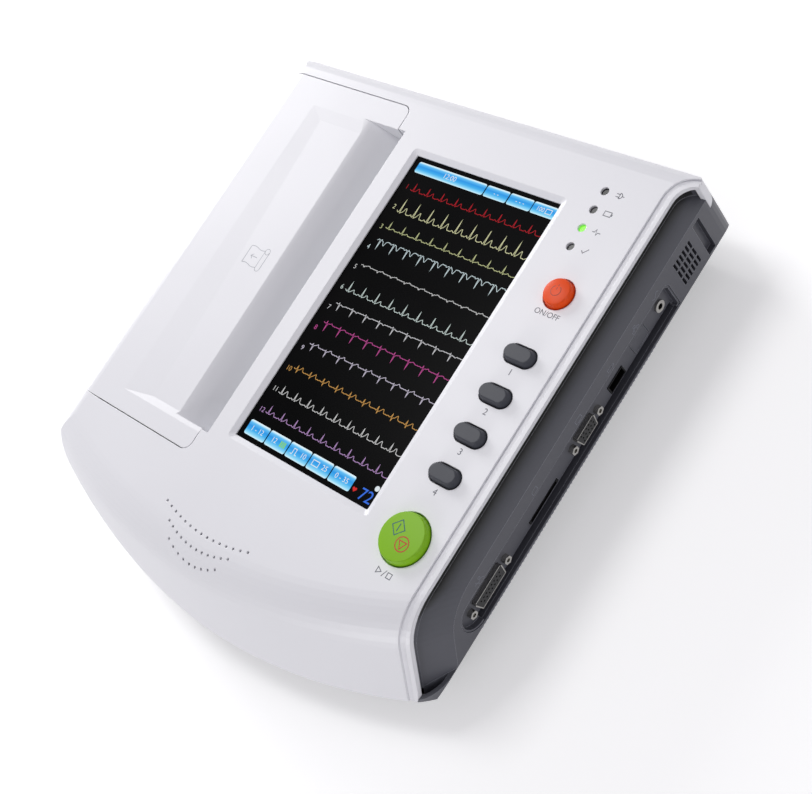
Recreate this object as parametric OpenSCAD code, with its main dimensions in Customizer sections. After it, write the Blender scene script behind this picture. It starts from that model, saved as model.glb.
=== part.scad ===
// Twelve-channel electrocardiograph: desk unit with a portrait screen, a key
// column, a clamshell door over a thermal printer, and a connector channel.
// Origin: centre of the footprint on the table. +X right, +Y back, +Z up.

/* [Casing] */
// Width of the casing, left to right
body_w = 320; // [312:1:330]
// Depth of the casing, nose to back wall
body_d = 344; // [340:1:352]
// Height of the top panel
body_h = 72; // [71:0.5:78]
// Wall thickness of the mouldings
wall = 2.5; // [2.2:0.1:2.8]
// Radius of the nose arc in plan
nose_r = 340; // [330:5:380]
// How far right of the middle the nose arc is centred
nose_shift = 6; // [0:1:12]
// Radius of the two front corners in plan
front_corner_r = 30; // [24:1:34]
// Radius of the two back corners in plan
back_corner_r = 12; // [10:1:14]
// Rounding of the left top edge
left_edge_r = 10; // [8:1:10]
// Rounding of the back top edge
back_edge_r = 12; // [8:1:14]
// Height of the belly's underside
foot_h = 5; // [4:0.5:7]
// Height at which the side walls turn in to the belly
belly_z = 27; // [25:1:28]
// How far the belly's underside is set in from the walls
belly_inset = 16; // [12:1:18]

/* [Palm rest] */
// Radius in plan of the line where the top starts to fall
fall_r = 395; // [385:5:410]
// How far right of the middle its centre lies
fall_shift = -21; // [-24:1:-16]
// Distance from the nose back to that line
fall_run = 42.5; // [40:0.5:45]
// Bend radius between the top and the falling front
fall_bend = 29; // [26:1:32]
// Steepness of the falling front
fall_slope = 60; // [56:1:62]
// Height of the cover's skirt below the top, left and back
skirt_h = 20; // [20:0.5:21]
// Height of the cover's front edge
front_edge_z = 22; // [21:0.5:25]

/* [Right side] */
// How far the cover's right edge is set in from the side
lip_inset = 10; // [9:0.5:11]
// Undercut of the recess below that edge
lip_undercut = 2; // [1.5:0.25:2.5]
// Concave radius of the edge at the back right corner
lip_corner_r = 12; // [10:1:13]
// Convex radius of the edge at the front right corner
lip_front_r = 8; // [6:1:10]
// Groove beside the edge: distance from it to the middle
groove_in = 4.6; // [4.2:0.2:5.4]
// Width of the groove
groove_w = 3.6; // [3:0.2:4]
// Depth of the groove
groove_deep = 1.1; // [0.8:0.1:1.3]
// Drop of the shoulder's inner edge below the top
shoulder_in_drop = 7.2; // [6.5:0.1:8]
// Drop of the shoulder's outer edge, the ridge
ridge_drop = 12.4; // [11:0.2:13]
// How far the ridge falls before the top does
ridge_lead = 11.5; // [10:0.5:13]

/* [Screen] */
// Width of the visible screen
screen_w = 112; // [108:1:114]
// Height of the visible screen
screen_l = 198; // [190:1:200]
// Left edge of the screen from the middle
screen_x = -24; // [-26:0.5:-22]
// Front edge of the screen from the middle
screen_y = -68.5; // [-70:0.5:-66]
// Width of the bevel round the screen
bevel_w = 3.6; // [2.5:0.1:4]
// Thickness of the screen window
window_t = 1.5; // [1.2:0.1:2]
// Thickness of the display module
display_t = 6; // [5:0.5:7]

/* [Keys] */
// Distance of the key column from the middle
key_x = 120.8; // [119:0.2:122]
// Place of the first oval key in depth
key_y = 41.2; // [40:0.2:43]
// Spacing of the oval keys
key_pitch = 24.8; // [23:0.2:25.4]
// Length of an oval key at its foot
key_l = 19.8; // [18:0.2:20.4]
// Width of an oval key at its foot
key_w = 10.4; // [9:0.2:11]
// Height of the keys above the panel
key_rise = 4; // [3:0.25:5]
// Draft of the key's sides, foot to top
key_draft = 0.9; // [0.5:0.1:1.2]
// Gap between a key and its hole
key_gap = 0.9; // [0.6:0.1:1.1]
// Travel of a key
key_travel = 1.2; // [0.8:0.1:1.5]
// Place of the power button in depth
power_y = 80.4; // [79:0.2:84]
// Radius of the power button
power_r = 8.6; // [8:0.1:9]
// Place of the start button in depth
start_y = -72; // [-74:0.5:-68]
// Radius of the start button
start_r = 14.6; // [13:0.2:15]
// Place of the first status light
lamp_x = 110; // [108:0.5:112]
// Place of the hindmost status light in depth
lamp_y = 143.8; // [142:0.2:146]
// Spacing of the status lights
lamp_pitch = 12; // [11:0.25:12.5]
// Radius of a status light's hole
lamp_r = 2.5; // [2:0.1:3]

/* [Paper door] */
// Right edge of the door from the middle
door_right = -48.5; // [-49:0.5:-47.5]
// Front edge of the door
door_front = -91.4; // [-94:0.2:-90.6]
// Back edge of the door
door_back = 156.9; // [156.5:0.1:157.4]
// Seam between the door and the cover
seam = 0.5; // [0.4:0.1:0.8]
// Radius of the door's right corners
door_corner_r = 6; // [4:0.5:8]
// Left end of the trough, where it leaves the top
trough_left = -78.6; // [-80:0.2:-78]
// Right edge of the trough, the panel's edge
trough_right = -42; // [-42.5:0.5:-41]
// Front end of the trough
trough_front = -75.5; // [-76.5:0.5:-75]
// Length of the trough
trough_l = 216; // [214:1:217]
// Slope of the trough
trough_slope = 35; // [33:1:36]
// Rounding where the trough leaves the top
trough_bend = 14; // [8:1:18]
// Width of the paper slot at the trough's foot
slot_w = 3.2; // [2.8:0.1:3.6]
// Radius of the hinge barrel
barrel_r = 5; // [4.5:0.25:5]
// Radius of the hinge pins
pin_r = 2; // [1.5:0.25:2.25]
// Running clearance round a pin or shaft
run_gap = 0.05; // [0.03:0.01:0.08]

/* [Printer] */
// Radius of the platen roller
platen_r = 8; // [7.5:0.1:8]
// Radius of the platen shaft
shaft_r = 3; // [2.5:0.25:3.25]
// Outer radius of the platen bushings
bush_r = 5; // [4.5:0.25:5.25]
// Platen axis from the middle
platen_x = -56.8; // [-57:0.1:-56.4]
// Height of the platen axis
platen_z = 41.5; // [41:0.1:42]
// Angle at which the head meets the platen
head_angle = 25; // [23:1:28]
// Gap that the paper runs through between platen and head
paper_gap = 0.15; // [0.1:0.05:0.3]
// Thickness of the thermal head's ceramic
head_t = 1.2; // [1:0.1:1.5]
// Thickness of the head's heat sink
sink_t = 4.8; // [4:0.2:5]
// Rubber overhang past each edge of the paper
rubber_over = 2; // [1:0.5:3]
// Thickness of the sheet metal
sheet_t = 1.5; // [1.2:0.1:1.6]
// Gear module
gear_m = 0.8; // [0.78:0.01:0.8]
// Teeth on the platen gear
platen_teeth = 18; // [18]
// Teeth on the idler gear
idler_teeth = 24; // [24]
// Teeth on the motor pinion
pinion_teeth = 14; // [14]
// Width of the gears
gear_w = 3.25; // [2.75:0.25:3.5]
// Radius of the motor can
motor_r = 12; // [10:0.5:12]
// Length of the motor can
motor_l = 22; // [18:1:26]
// Radius of a new paper roll
roll_r = 22; // [19:0.5:22.5]
// Radius of the roll's core
core_r = 8; // [7:0.5:9]
// Width of the paper
paper_w = 210; // [206:1:211]
// Distance of the roll's axis from the middle
roll_x = -121; // [-122:0.5:-120.5]
// Height of the roll's axis
roll_z = 33; // [32:0.5:34]
// Radius of the spindle
spindle_r = 4; // [3:0.25:4.5]

/* [Connectors] */
// Front end of the connector channel
channel_front = -95.5; // [-96.5:0.5:-94]
// Back end of the connector channel
channel_back = 115; // [113:0.5:117]
// Height of the channel's underside
channel_z = 28.3; // [28.1:0.1:28.6]
// Height of the channel
channel_h = 22; // [21:0.25:22.5]
// Depth of the channel
channel_deep = 4; // [3.5:0.25:4.5]
// Height of the dark groove along the channel's foot
foot_groove_h = 3.7; // [3.2:0.1:3.8]
// Height of the connectors' middle
port_z = 38; // [37.6:0.1:38.4]
// Place of the signal jack in depth
jack_y = 105; // [104:0.5:106]
// Radius of the signal jack's ring
jack_r = 3.6; // [3:0.1:3.8]
// Middle of the network port in depth
network_y = 84.3; // [83.5:0.1:85]
// Width of the network port's flap
flap_w = 14.5; // [14:0.25:15.5]
// Height of the network port's flap
flap_h = 9.4; // [9:0.1:9.6]
// Middle of the serial bus port in depth
usb_y = 59.5; // [59:0.5:61]
// Middle of the screen connector in depth
video_y = 27.5; // [27:0.5:28.5]
// Middle of the card slot in depth
card_y = -16; // [-17:0.5:-15]
// Middle of the patient connector in depth
patient_y = -69; // [-70:0.5:-68.5]
// Height of the circuit board's top
board_z = 31; // [30.9:0.1:31.4]
// Thickness of the circuit boards
board_t = 1.6; // [1.2:0.1:1.6]

/* [Inside] */
// Length of the battery, left to right
battery_l = 96; // [90:1:98]
// Width of the battery
battery_w = 68; // [64:1:70]
// Height of the battery
battery_h = 19.5; // [18:0.25:20]
// Middle of the battery, left to right
battery_x = 62; // [60:1:64]
// Middle of the battery in depth
battery_y = -30; // [-32:1:-28]
// Radius of the speaker
speaker_r = 14; // [12:0.5:14]
// Radius of the feet
foot_r = 9; // [7:0.5:10]
// Height at which the cover's posts meet the housing's
post_z = 34; // [33:0.5:40]
// Radius of the screw posts
post_r = 4.2; // [4:0.1:4.6]
// Radius of a casing screw's thread
screw_r = 1.5; // [1.25:0.25:1.75]

/* [Hidden] */

$fn = 48;
far = 400;
half_w = body_w / 2;
half_d = body_d / 2;
// Depth of a cut past the face it opens
over = 1;
// Seat clearance round a fixed insert
fit = 0.15;

// Points along an arc of n steps
function arc(cx, cy, r, a0, a1, n) =
    [for (i = [0:n]) let (a = a0 + (a1 - a0) * i / n) [cx + r * cos(a), cy + r * sin(a)]];

// A bar along the depth from y0 to y1, with its section drawn as x and z
module bar_y(y0, y1) {
    translate([0, y1, 0]) rotate([90, 0, 0]) linear_extrude(y1 - y0) children();
}

// A round bar along the depth
module rod_y(r, y0, y1) {
    translate([0, y0, 0]) rotate([-90, 0, 0]) cylinder(r = r, h = y1 - y0);
}

// A bar along the width from x0 to x1, with its section drawn as y and z
module bar_x(x0, x1) {
    translate([x0, 0, 0]) rotate([90, 0, 90]) linear_extrude(x1 - x0) children();
}

// A box from its low corner to its high corner
module box(a, b) {
    translate(a) cube(b - a);
}

// Upright cylinders from z, one at each of the places
module pillars(places, z, r, h) {
    for (p = places) translate([p[0], p[1], z]) cylinder(r = r, h = h);
}

// ---- casing form ----

nose_cy = nose_r - half_d;
fall_cy = fall_r + fall_run - half_d;
belly_rise = belly_z - foot_h;
belly_len = sqrt(belly_inset * belly_inset + belly_rise * belly_rise);
floor_z = foot_h + wall;
under_top = body_h - wall;
// The cover's posts run on into its skin
post_top = body_h - wall / 2;
skirt_z = body_h - skirt_h;

// Corners of the belly, moved in by i at right angles to its walls
function belly_top(i) = belly_z + i * (belly_len - belly_rise) / belly_inset;
function belly_in(i) = belly_inset + i * (belly_len - belly_inset) / belly_rise;

// Centre and joining angle of a front corner of radius r, on side s
// (1 right, -1 left) of an outline half_x wide each way
function front_corner(s, half_x, r) =
    let (x = s * (half_x - r),
         y = nose_cy - sqrt(pow(nose_r - r, 2) - pow(x - nose_shift, 2)))
    [x, y, atan2(y - nose_cy, x - nose_shift)];

right_corner = front_corner(1, half_w, front_corner_r);
left_corner = front_corner(-1, half_w, front_corner_r);
lip_x = half_w - lip_inset;
lip_corner = front_corner(1, lip_x, lip_front_r);
// Middle of the concave arc at the back right corner
sweep_x = lip_x + lip_corner_r;
sweep_y = half_d - lip_inset - lip_corner_r;

// Outline of the casing seen from above, moved in by i
function plan_points(i) = concat(
    arc(right_corner[0], right_corner[1], front_corner_r - i, right_corner[2], 0, 10),
    arc(half_w - back_corner_r, half_d - back_corner_r, back_corner_r - i, 0, 90, 6),
    arc(back_corner_r - half_w, half_d - back_corner_r, back_corner_r - i, 90, 180, 6),
    arc(left_corner[0], left_corner[1], front_corner_r - i, 180, left_corner[2] + 360, 10),
    arc(nose_shift, nose_cy, nose_r - i, left_corner[2] + 1, right_corner[2] - 1, 34)
);

// Section of the falling front as radius and height, moved in by i,
// started d_r early and d_z lower
function fall_points(i, d_r, d_z) =
    let (r0 = fall_r - d_r, top = body_h - d_z, b = fall_bend - i,
         run = (top - fall_bend + b * cos(fall_slope) + belly_z) / tan(fall_slope))
    concat(
        [[0, -belly_z], [0, top - i]],
        arc(r0, top - fall_bend, b, 90, 90 - fall_slope, 8),
        [[r0 + b * sin(fall_slope) + run, -belly_z]]
    );

// Height of the falling front over a point
function fall_z(x, y) =
    let (r = norm([x - fall_shift, y - fall_cy]) - fall_r, bend = fall_bend * sin(fall_slope))
    r < 0 ? body_h
    : r < bend ? body_h - fall_bend + sqrt(fall_bend * fall_bend - r * r)
    : body_h - fall_bend * (1 - cos(fall_slope)) - (r - bend) * tan(fall_slope);

// Everything under the falling front
module under_fall(i = 0, d_r = 0, d_z = 0) {
    translate([fall_shift, fall_cy, 0])
        rotate([0, 0, 180])
            rotate_extrude(angle = 180, $fn = 240)
                polygon(fall_points(i, d_r, d_z));
}

// An arc's points with both ends drawn on past the faces they round off
function run_out(p) = let (n = len(p) - 1)
    concat([2 * p[0] - p[1]], [for (k = [1:n - 1]) p[k]], [2 * p[n] - p[n - 1]]);

// The belly's slope beside a wall at w, drawn on past both its ends
function belly_line(w, i) = let (e = 8, k = e * belly_rise / belly_inset)
    [[w - belly_in(i) - e, foot_h + i - k], [w - i + e, belly_top(i) + k]];

// Section across the casing, with the left edge rounded
module across(i) {
    line = belly_line(half_w, i);
    bar_y(-far, far)
        polygon(concat(
            line,
            [[line[1][0], 2 * body_h], [left_edge_r - half_w, 2 * body_h]],
            run_out(arc(left_edge_r - half_w, body_h - left_edge_r, left_edge_r - i, 90, 180, 6)),
            [[-line[1][0], line[1][1]], [-line[0][0], line[0][1]]]
        ));
}

// Section along the casing, with the back edge rounded
module along(i) {
    line = belly_line(half_d, i);
    bar_x(-far, far)
        polygon(concat(
            [[-far, line[0][1]]],
            line,
            run_out(arc(half_d - back_edge_r, body_h - back_edge_r, back_edge_r - i, 0, 90, 6)),
            [[half_d - back_edge_r, 2 * body_h], [-far, 2 * body_h]]
        ));
}

// The belly's floor and its turn-in along the nose
module nose_turn(i) {
    line = belly_line(nose_r, i);
    translate([nose_shift, nose_cy, 0])
        rotate_extrude($fn = 240)
            polygon([[0, foot_h + i], [nose_r - belly_in(i), foot_h + i], line[1],
                     [line[1][0], 2 * body_h], [0, 2 * body_h]]);
}

// The whole casing as one solid, moved in by i
module form(i = 0) {
    intersection() {
        translate([0, 0, -over]) linear_extrude(body_h + 2 * over) polygon(plan_points(i));
        nose_turn(i);
        across(i);
        along(i);
        under_fall(i);
    }
}

// Everything right of the cover's edge, or of a line in_by further in
module side_strip(in_by = 0) {
    r = lip_corner_r + in_by;
    linear_extrude(2 * body_h)
        polygon(concat(
            [[sweep_x - r, -far]],
            arc(sweep_x, sweep_y, r, 180, 90, 8),
            [[far, sweep_y + r], [far, -far]]
        ));
}

// Outline of the cover's right edge with its two corners, grown by g
module cover_outline(g = 0) {
    linear_extrude(2 * body_h)
        polygon(concat(
            [[-far, -far], [lip_corner[0], -far]],
            arc(lip_corner[0], lip_corner[1], lip_front_r + g, lip_corner[2], 0, 6),
            arc(sweep_x, sweep_y, lip_corner_r - g, 180, 90, 8),
            [[far, sweep_y + lip_corner_r - g], [far, far], [-far, far]]
        ));
}

// Everything below the joint between cover and housing
module under_joint() {
    under_fall(0, 0, skirt_h);
    box([-far, -far, -over], [far, far, front_edge_z]);
}

// ---- openings ----

trough_back = trough_front + trough_l;
hinge_x = barrel_r - half_w;
hinge_z = skirt_z + barrel_r;
post_at = [
    [35 - half_w, 58 - half_d], [40, 46 - half_d], [half_w - 38, 64 - half_d],
    [35 - half_w, half_d - 8.5], [0, half_d - 8.5], [half_w - 26, half_d - 12]
];
key_ys = [for (k = [0:3]) key_y - k * key_pitch];
lamp_ys = [for (k = [0:3]) lamp_y - k * lamp_pitch];
speaker_at = [-2, -133];

// Outline of the door, grown by g
module door_outline(g) {
    r = door_corner_r + g;
    x = door_right + g;
    polygon(concat(
        [[-far, door_back + g], [-far, door_front - g]],
        arc(x - r, door_front - g + r, r, -90, 0, 5),
        arc(x - r, door_back + g - r, r, 0, 90, 5)
    ));
}

// Outline of the hole for the door and its trough, grown by g
module door_hole_outline(g) {
    door_outline(seam + g);
    translate([trough_left, trough_front - seam - g])
        square([trough_right - trough_left + g, trough_l + 2 * (seam + g)]);
}

// A slot shape l long and w wide
module stadium(l, w) {
    square([l - w, w], center = true);
    for (s = [-1, 1]) translate([s * (l - w) / 2, 0]) circle(d = w);
}

// The holes of the key column
module key_holes() {
    translate([key_x, 0, under_top - over]) linear_extrude(wall + 2 * over) {
        for (y = key_ys) translate([0, y]) stadium(key_l + 2 * key_gap, key_w + 2 * key_gap);
        translate([0, power_y]) circle(power_r + key_gap);
        translate([0, start_y]) circle(start_r + key_gap);
        for (y = lamp_ys) translate([lamp_x - key_x, y]) circle(lamp_r);
    }
}

// The screen's opening with its bevel
module screen_hole() {
    bevel_h = wall - 0.7;
    r = 2;
    box([screen_x, screen_y, under_top - over], [screen_x + screen_w, screen_y + screen_l, body_h]);
    hull()
        for (x = [screen_x, screen_x + screen_w], y = [screen_y, screen_y + screen_l]) {
            sx = x > screen_x ? 1 : -1;
            sy = y > screen_y ? 1 : -1;
            translate([x - sx * r, y - sy * r, body_h - bevel_h])
                cylinder(r = r, h = 0.01, $fn = 32);
            translate([x + sx * (bevel_w - r - 1), y + sy * (bevel_w - r - 1), body_h])
                cylinder(r = r + 1, h = 0.1, $fn = 32);
        }
}

// Rows of sound holes, curved like the nose
function row_points(k) =
    let (n = [15, 12, 9][k], span = [37, 27, 21][k], y0 = [-127, -136, -144.8][k])
    [for (i = [0:n - 1])
        let (u = n == 1 ? 0 : 2 * i / (n - 1) - 1) [speaker_at[0] + span * u, y0 + 5.5 * u * u]];

// ---- cover ----

module upper_cover() {
    color("whitesmoke") difference() {
        union() {
            difference() {
                intersection() {
                    form();
                    cover_outline();
                }
                under_joint();
                form(wall);
            }
            // Walls round the door's hole
            intersection() {
                form();
                translate([0, 0, skirt_z]) linear_extrude(body_h) door_hole_outline(wall);
            }
            // Display posts
            pillars(display_posts, ear_z, ear_r, post_top - ear_z);
            // Key board posts
            pillars(key_board_posts, key_board_z + board_t, ear_r, post_top - key_board_z - board_t);
            // Screw posts, and the ring that holds the speaker
            intersection() {
                union() {
                    pillars(post_at, post_z, post_r, body_h);
                    pillars([speaker_at], speaker_z, speaker_r + fit + wall, body_h);
                }
                form(wall / 2);
            }
            // Bosses of the hinge pins
            for (y = [door_front - seam - boss_l, door_back + seam])
                translate([hinge_x, 0, hinge_z]) rod_y(barrel_r, y, y + boss_l);
        }
        linear_extrude(2 * body_h) door_hole_outline(0);
        key_holes();
        screen_hole();
        translate([hinge_x, 0, hinge_z])
            rod_y(pin_r, door_front - seam - boss_l - over, door_back + seam + boss_l + over);
        // Pilot holes
        pillars(post_at, post_z - over, screw_r, pilot_l + over);
        pillars(display_posts, ear_z - over, small_screw_r, 4 + over);
        pillars(key_board_posts, key_board_z + board_t - over, small_screw_r, 4 + over);
        translate([speaker_at[0], speaker_at[1], speaker_z - over]) {
            cylinder(r = speaker_r + fit, h = speaker_h + over);
            cylinder(r = speaker_r - 2, h = body_h - wall - 3 - speaker_z + over);
        }
        // Room for the platen's gear as the door swings
        box([door_right + seam - over, gear_y - 0.5, skirt_z - over],
            [door_right + seam + gear_relief, gear_y + gear_w + 0.5, body_h - 1]);
        // Sound holes
        for (k = [0:2], p = row_points(k))
            pillars([p], fall_z(p[0], p[1]) - 2 * wall, sound_r, 3 * wall);
        // Groove beside the right edge
        difference() {
            side_strip(groove_in + groove_w / 2);
            side_strip(groove_in - groove_w / 2);
            intersection() {
                along(groove_deep);
                under_fall(groove_deep);
            }
        }
    }
}

boss_l = 8;
pilot_l = 14;
sound_r = 0.8;
small_screw_r = 1;
small_hole_r = small_screw_r + 0.2;
ear_r = 3;
speaker_h = 7;
speaker_z = body_h - 17;

// ---- housing ----

shoulder_out_z = body_h - ridge_drop;
riser_t = 2.5;

// Section of the shoulder at distance x from the middle, moved in by i
function shoulder_points(x, i, d_r, d_z) = let (p = fall_points(i, d_r, d_z), c = x - fall_shift)
    concat(
        [[far, -belly_z], [far, body_h - d_z - i]],
        [for (k = [2:len(p) - 1]) [fall_cy - sqrt(p[k][0] * p[k][0] - c * c), p[k][1]]]
    );

// The shoulder and the side below it, moved in by i
module shoulder(i = 0) {
    x_in = lip_x - lip_undercut - riser_t - over;
    hull() {
        bar_x(x_in, x_in + 0.01)
            polygon(shoulder_points(x_in, i, 0, shoulder_in_drop - over));
        bar_x(half_w, half_w + 0.01)
            polygon(shoulder_points(half_w, i, ridge_lead, ridge_drop));
    }
}

// Solid form of the housing, moved in by i, and by i_top under the cover
module housing_form(i = 0) {
    intersection() {
        form(i);
        union() {
            under_joint();
            difference() {
                side_strip(lip_undercut + riser_t - i);
                // Room for the cover's walls
                difference() {
                    cover_outline(fit);
                    form(wall + fit);
                }
            }
        }
    }
}

module lower_housing() {
    color("dimgray") difference() {
        union() {
            difference() {
                housing_form();
                // Recess under the cover's right edge, above the shoulder
                difference() {
                    side_strip(lip_undercut);
                    shoulder();
                    box([-far, -far, -over], [far, far, belly_z]);
                }
                difference() {
                    form(wall);
                    difference() {
                        side_strip(lip_undercut + riser_t);
                        shoulder(wall);
                        box([-far, -far, -over], [far, far, belly_z]);
                    }
                }
            }
            housing_inside();
        }
        housing_cuts();
    }
}

module housing_inside() {
    intersection() {
        form(wall / 2);
        union() {
            // Screw posts
            pillars(post_at, foot_h, post_r, post_z - foot_h);
            // Board posts
            pillars(board_posts, foot_h, ear_r, board_z - board_t - foot_h);
            pillars(power_posts, foot_h, ear_r, power_z - foot_h);
            // Wall between the paper bay and the electronics
            box([bay_wall_x, door_front, foot_h], [bay_wall_x + 2, door_back, bay_wall_z]);
            // Battery bay
            difference() {
                box([battery_x - bay_l / 2 - 2, battery_y - bay_w / 2 - 2, foot_h],
                    [battery_x + bay_l / 2 + 2, battery_y + bay_w / 2 + 2, bay_top_z]);
                box([battery_x - bay_l / 2, battery_y - bay_w / 2, 0],
                    [battery_x + bay_l / 2, battery_y + bay_w / 2, body_h]);
            }
            translate([battery_x, cover_tab_y, foot_h]) cylinder(r = post_r, h = 12);
            // Cradles of the paper spindle
            for (y = cradle_ys)
                difference() {
                    box([roll_x - 2.5 * spindle_r, y, foot_h], [roll_x + 2.5 * spindle_r, y + wall, roll_z + 8]);
                    translate([roll_x, 0, roll_z]) rod_y(spindle_r + run_gap, y - over, y + wall + over);
                    box([roll_x - spindle_r - run_gap, y - over, roll_z],
                        [roll_x + spindle_r + run_gap, y + wall + over, body_h]);
                }
            // Pocket of the mains inlet in the back wall
            box([pocket_x0 - wall, pocket_y - wall, pocket_z0 - wall],
                [pocket_x1 + wall, half_d, pocket_z1 + wall]);
            // Backing of the grip slot
            box([half_w - grip_deep - wall, grip_y - wall, grip_z0 - wall],
                [half_w, grip_y + grip_w + wall, shoulder_out_z - 1]);
        }
    }
}

grip_y = 145.8;
grip_w = 6.5;
grip_z0 = 28.5;
grip_deep = 3.5;
pocket_x0 = 44;
pocket_x1 = 124;
pocket_z0 = 19;
pocket_z1 = 45;
pocket_y = half_d - 13;
bay_l = battery_l + 1;
bay_w = battery_w + 1;
bay_top_z = 26;
cover_tab_y = battery_y + bay_w / 2 + 7;
bay_wall_x = -31;
bay_wall_z = 48;
roll_mid = trough_front + trough_l / 2;
cradle_ys = [roll_mid - paper_w / 2 - 3 - wall, roll_mid + paper_w / 2 + 3];
board_x0 = 40;
board_posts = [[half_w - 34, 12], for (x = [board_x0 + 6, half_w - 22], y = [-84, 104]) [x, y]];
supply_y = half_d - 57;
power_posts = [for (x = [-14, 38], y = [5, 33]) [x, supply_y + y]];
power_z = 14;
vent_y = 123.4;
vent_pitch = 2.95;
vent_z = 33;

module housing_cuts() {
    // Screw holes with sunk heads
    pillars(post_at, 0, screw_r + 0.2, body_h);
    pillars(post_at, 0, head_r + 0.4, head_sink_z);
    pillars(board_posts, board_z - board_t - 8, small_screw_r, body_h);
    pillars(power_posts, power_z - 5, small_screw_r, body_h);
    translate([battery_x, cover_tab_y, 0]) cylinder(r = screw_r, h = 14);
    // Hole of the battery bay, stepped for its cover
    box([battery_x - bay_l / 2, battery_y - bay_w / 2, 0],
        [battery_x + bay_l / 2, battery_y + bay_w / 2, floor_z + over]);
    battery_cover_plate(fit, foot_h - over, foot_h + cover_plate_t);
    // Grip slot
    box([half_w - grip_deep, grip_y, grip_z0], [far, grip_y + grip_w, shoulder_out_z - 2.5]);
    // Vents
    for (k = [0:5], j = [0:2])
        box([half_w - 2 * wall, vent_y + k * vent_pitch, vent_z + j * 7.2],
            [far, vent_y + k * vent_pitch + 1.8, vent_z + j * 7.2 + 6]);
    // Connector channel
    bar_x(half_w - 2 * wall, far) channel_outline(0);
    // Mains pocket
    box([pocket_x0, pocket_y, pocket_z0], [pocket_x1, far, pocket_z1]);
    translate([inlet_x, 0, inlet_z]) inlet_hole();
    translate([earth_x, 0, inlet_z]) rod_y(earth_r, pocket_y - far / 4, half_d);
    // Room for the door's hinge barrel
    box([-far, door_front - seam, skirt_z - 1.5], [hinge_x + barrel_r, door_back + seam, body_h]);
}

head_r = 3;
head_sink_z = floor_z + 8;
cover_plate_t = 1.5;

// ---- connector channel ----

// Outline of the channel as depth and height, grown by g
module channel_outline(g) {
    r = channel_h / 2 + g;
    polygon(concat(
        [[channel_back + g, channel_z - g], [channel_back + g, channel_z + channel_h - 2.7 + g],
         [channel_back - 2.1 + g, channel_z + channel_h + g]],
        arc(channel_front + r - g, channel_z + channel_h / 2, r, 90, 270, 12)
    ));
}

tray_x = half_w - channel_deep;
port_face_x = tray_x - 2;

module connector_panel() {
    color([0.30, 0.30, 0.33]) difference() {
        union() {
            intersection() {
                bar_x(port_face_x, half_w - wall - 0.05) channel_outline(3);
                box([0, -far, belly_top(wall) + 0.1], [far, far, body_h]);
            }
            bar_x(half_w - wall - over, half_w - 0.5) channel_outline(-fit);
            // Back of the groove
            box([groove_x - 0.8, channel_front + channel_h / 2 - 0.8, channel_z - 0.8],
                [port_face_x + over, channel_back - 2.2, channel_z + foot_groove_h + 0.8]);
        }
        bar_x(tray_x, far) channel_outline(-1.2);
        box([groove_x, channel_front + channel_h / 2, channel_z],
            [far, channel_back - 3, channel_z + foot_groove_h]);
        translate([0, jack_y, port_z + 1.6]) rotate([0, 90, 0]) cylinder(r = jack_r - 0.8, h = far);
        box([0, network_y - flap_w / 2, network_z - flap_h / 2],
            [far, network_y + flap_w / 2, network_z + flap_h / 2]);
        box([0, usb_y - usb_w / 2 - fit, usb_z - usb_h / 2 - fit],
            [far, usb_y + usb_w / 2 + fit, usb_z + usb_h / 2 + fit]);
        bar_x(0, far) translate([video_y, port_z]) d_outline(video_shell, fit);
        bar_x(0, far) translate([patient_y, port_z]) d_outline(patient_shell, fit);
        for (y = jackscrew_ys)
            translate([0, y, port_z]) rotate([0, 90, 0]) cylinder(r = 1.6, h = far);
        box([0, card_y - card_w / 2 - fit, card_z - fit],
            [far, card_y + card_w / 2 + fit, card_z + card_h + fit]);
    }
}

groove_x = half_w - 9.5;
// Height above which bodies may pass over the groove
over_groove_z = channel_z + foot_groove_h + 0.8 + fit;
// How far a board or body may reach before the groove's back
behind_groove_x = groove_x - 0.8 - fit;
usb_w = 14.6;
usb_h = 6.4;
usb_z = over_groove_z + usb_h / 2 + fit;
card_w = 28;
card_h = 2.4;
card_z = over_groove_z + fit;
network_z = over_groove_z + flap_h / 2 + fit;
video_shell = 17;
patient_shell = 25.3;
video_pitch = 24.99;
patient_pitch = 33.32;
d_h = 8.6;
jackscrew_ys = [for (c = [[video_y, video_pitch], [patient_y, patient_pitch]], s = [-1, 1])
    c[0] + s * c[1] / 2];

// The keystone outline of a connector shell w wide, grown by g
module d_outline(w, g) {
    h = d_h / 2 + g;
    a = w / 2 + g;
    b = a - d_h * tan(10);
    polygon([[-b, -h], [b, -h], [a, h - 1.5], [a - 1.2, h], [1.2 - a, h], [-a, h - 1.5]]);
}

// A shielded connector at y with its shell w wide and its screws c apart,
// and a row of holes for each entry of rows
module d_connector(y, w, c, rows) {
    difference() {
        union() {
            box([port_face_x - 1.2, y - c / 2 - 3.4, over_groove_z],
                [port_face_x - 0.05, y + c / 2 + 3.4, port_z + 6]);
            box([port_face_x - 8, y - w / 2 - 1, over_groove_z], [port_face_x - 1, y + w / 2 + 1, port_z + 5.4]);
            box([port_face_x - 14, y - w / 2 - 1, board_z],
                [behind_groove_x, y + w / 2 + 1, port_z + 5.4]);
            bar_x(port_face_x - over, half_w - 1.2) translate([y, port_z]) d_outline(w, 0);
        }
        for (j = [0:len(rows) - 1], k = [0:rows[j] - 1])
            translate([half_w - 5, y + (k - (rows[j] - 1) / 2) * 2.5 + (len(rows) == 3 && j == 1 ? 0.6 : 0),
                       port_z + (j - (len(rows) - 1) / 2) * 2.4])
                rotate([0, 90, 0]) cylinder(r = 0.55, h = far, $fn = 16);
        for (s = [-1, 1])
            translate([port_face_x - 2, y + s * c / 2, port_z])
                rotate([0, 90, 0]) cylinder(r = 1.3, h = 4);
    }
}

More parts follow.
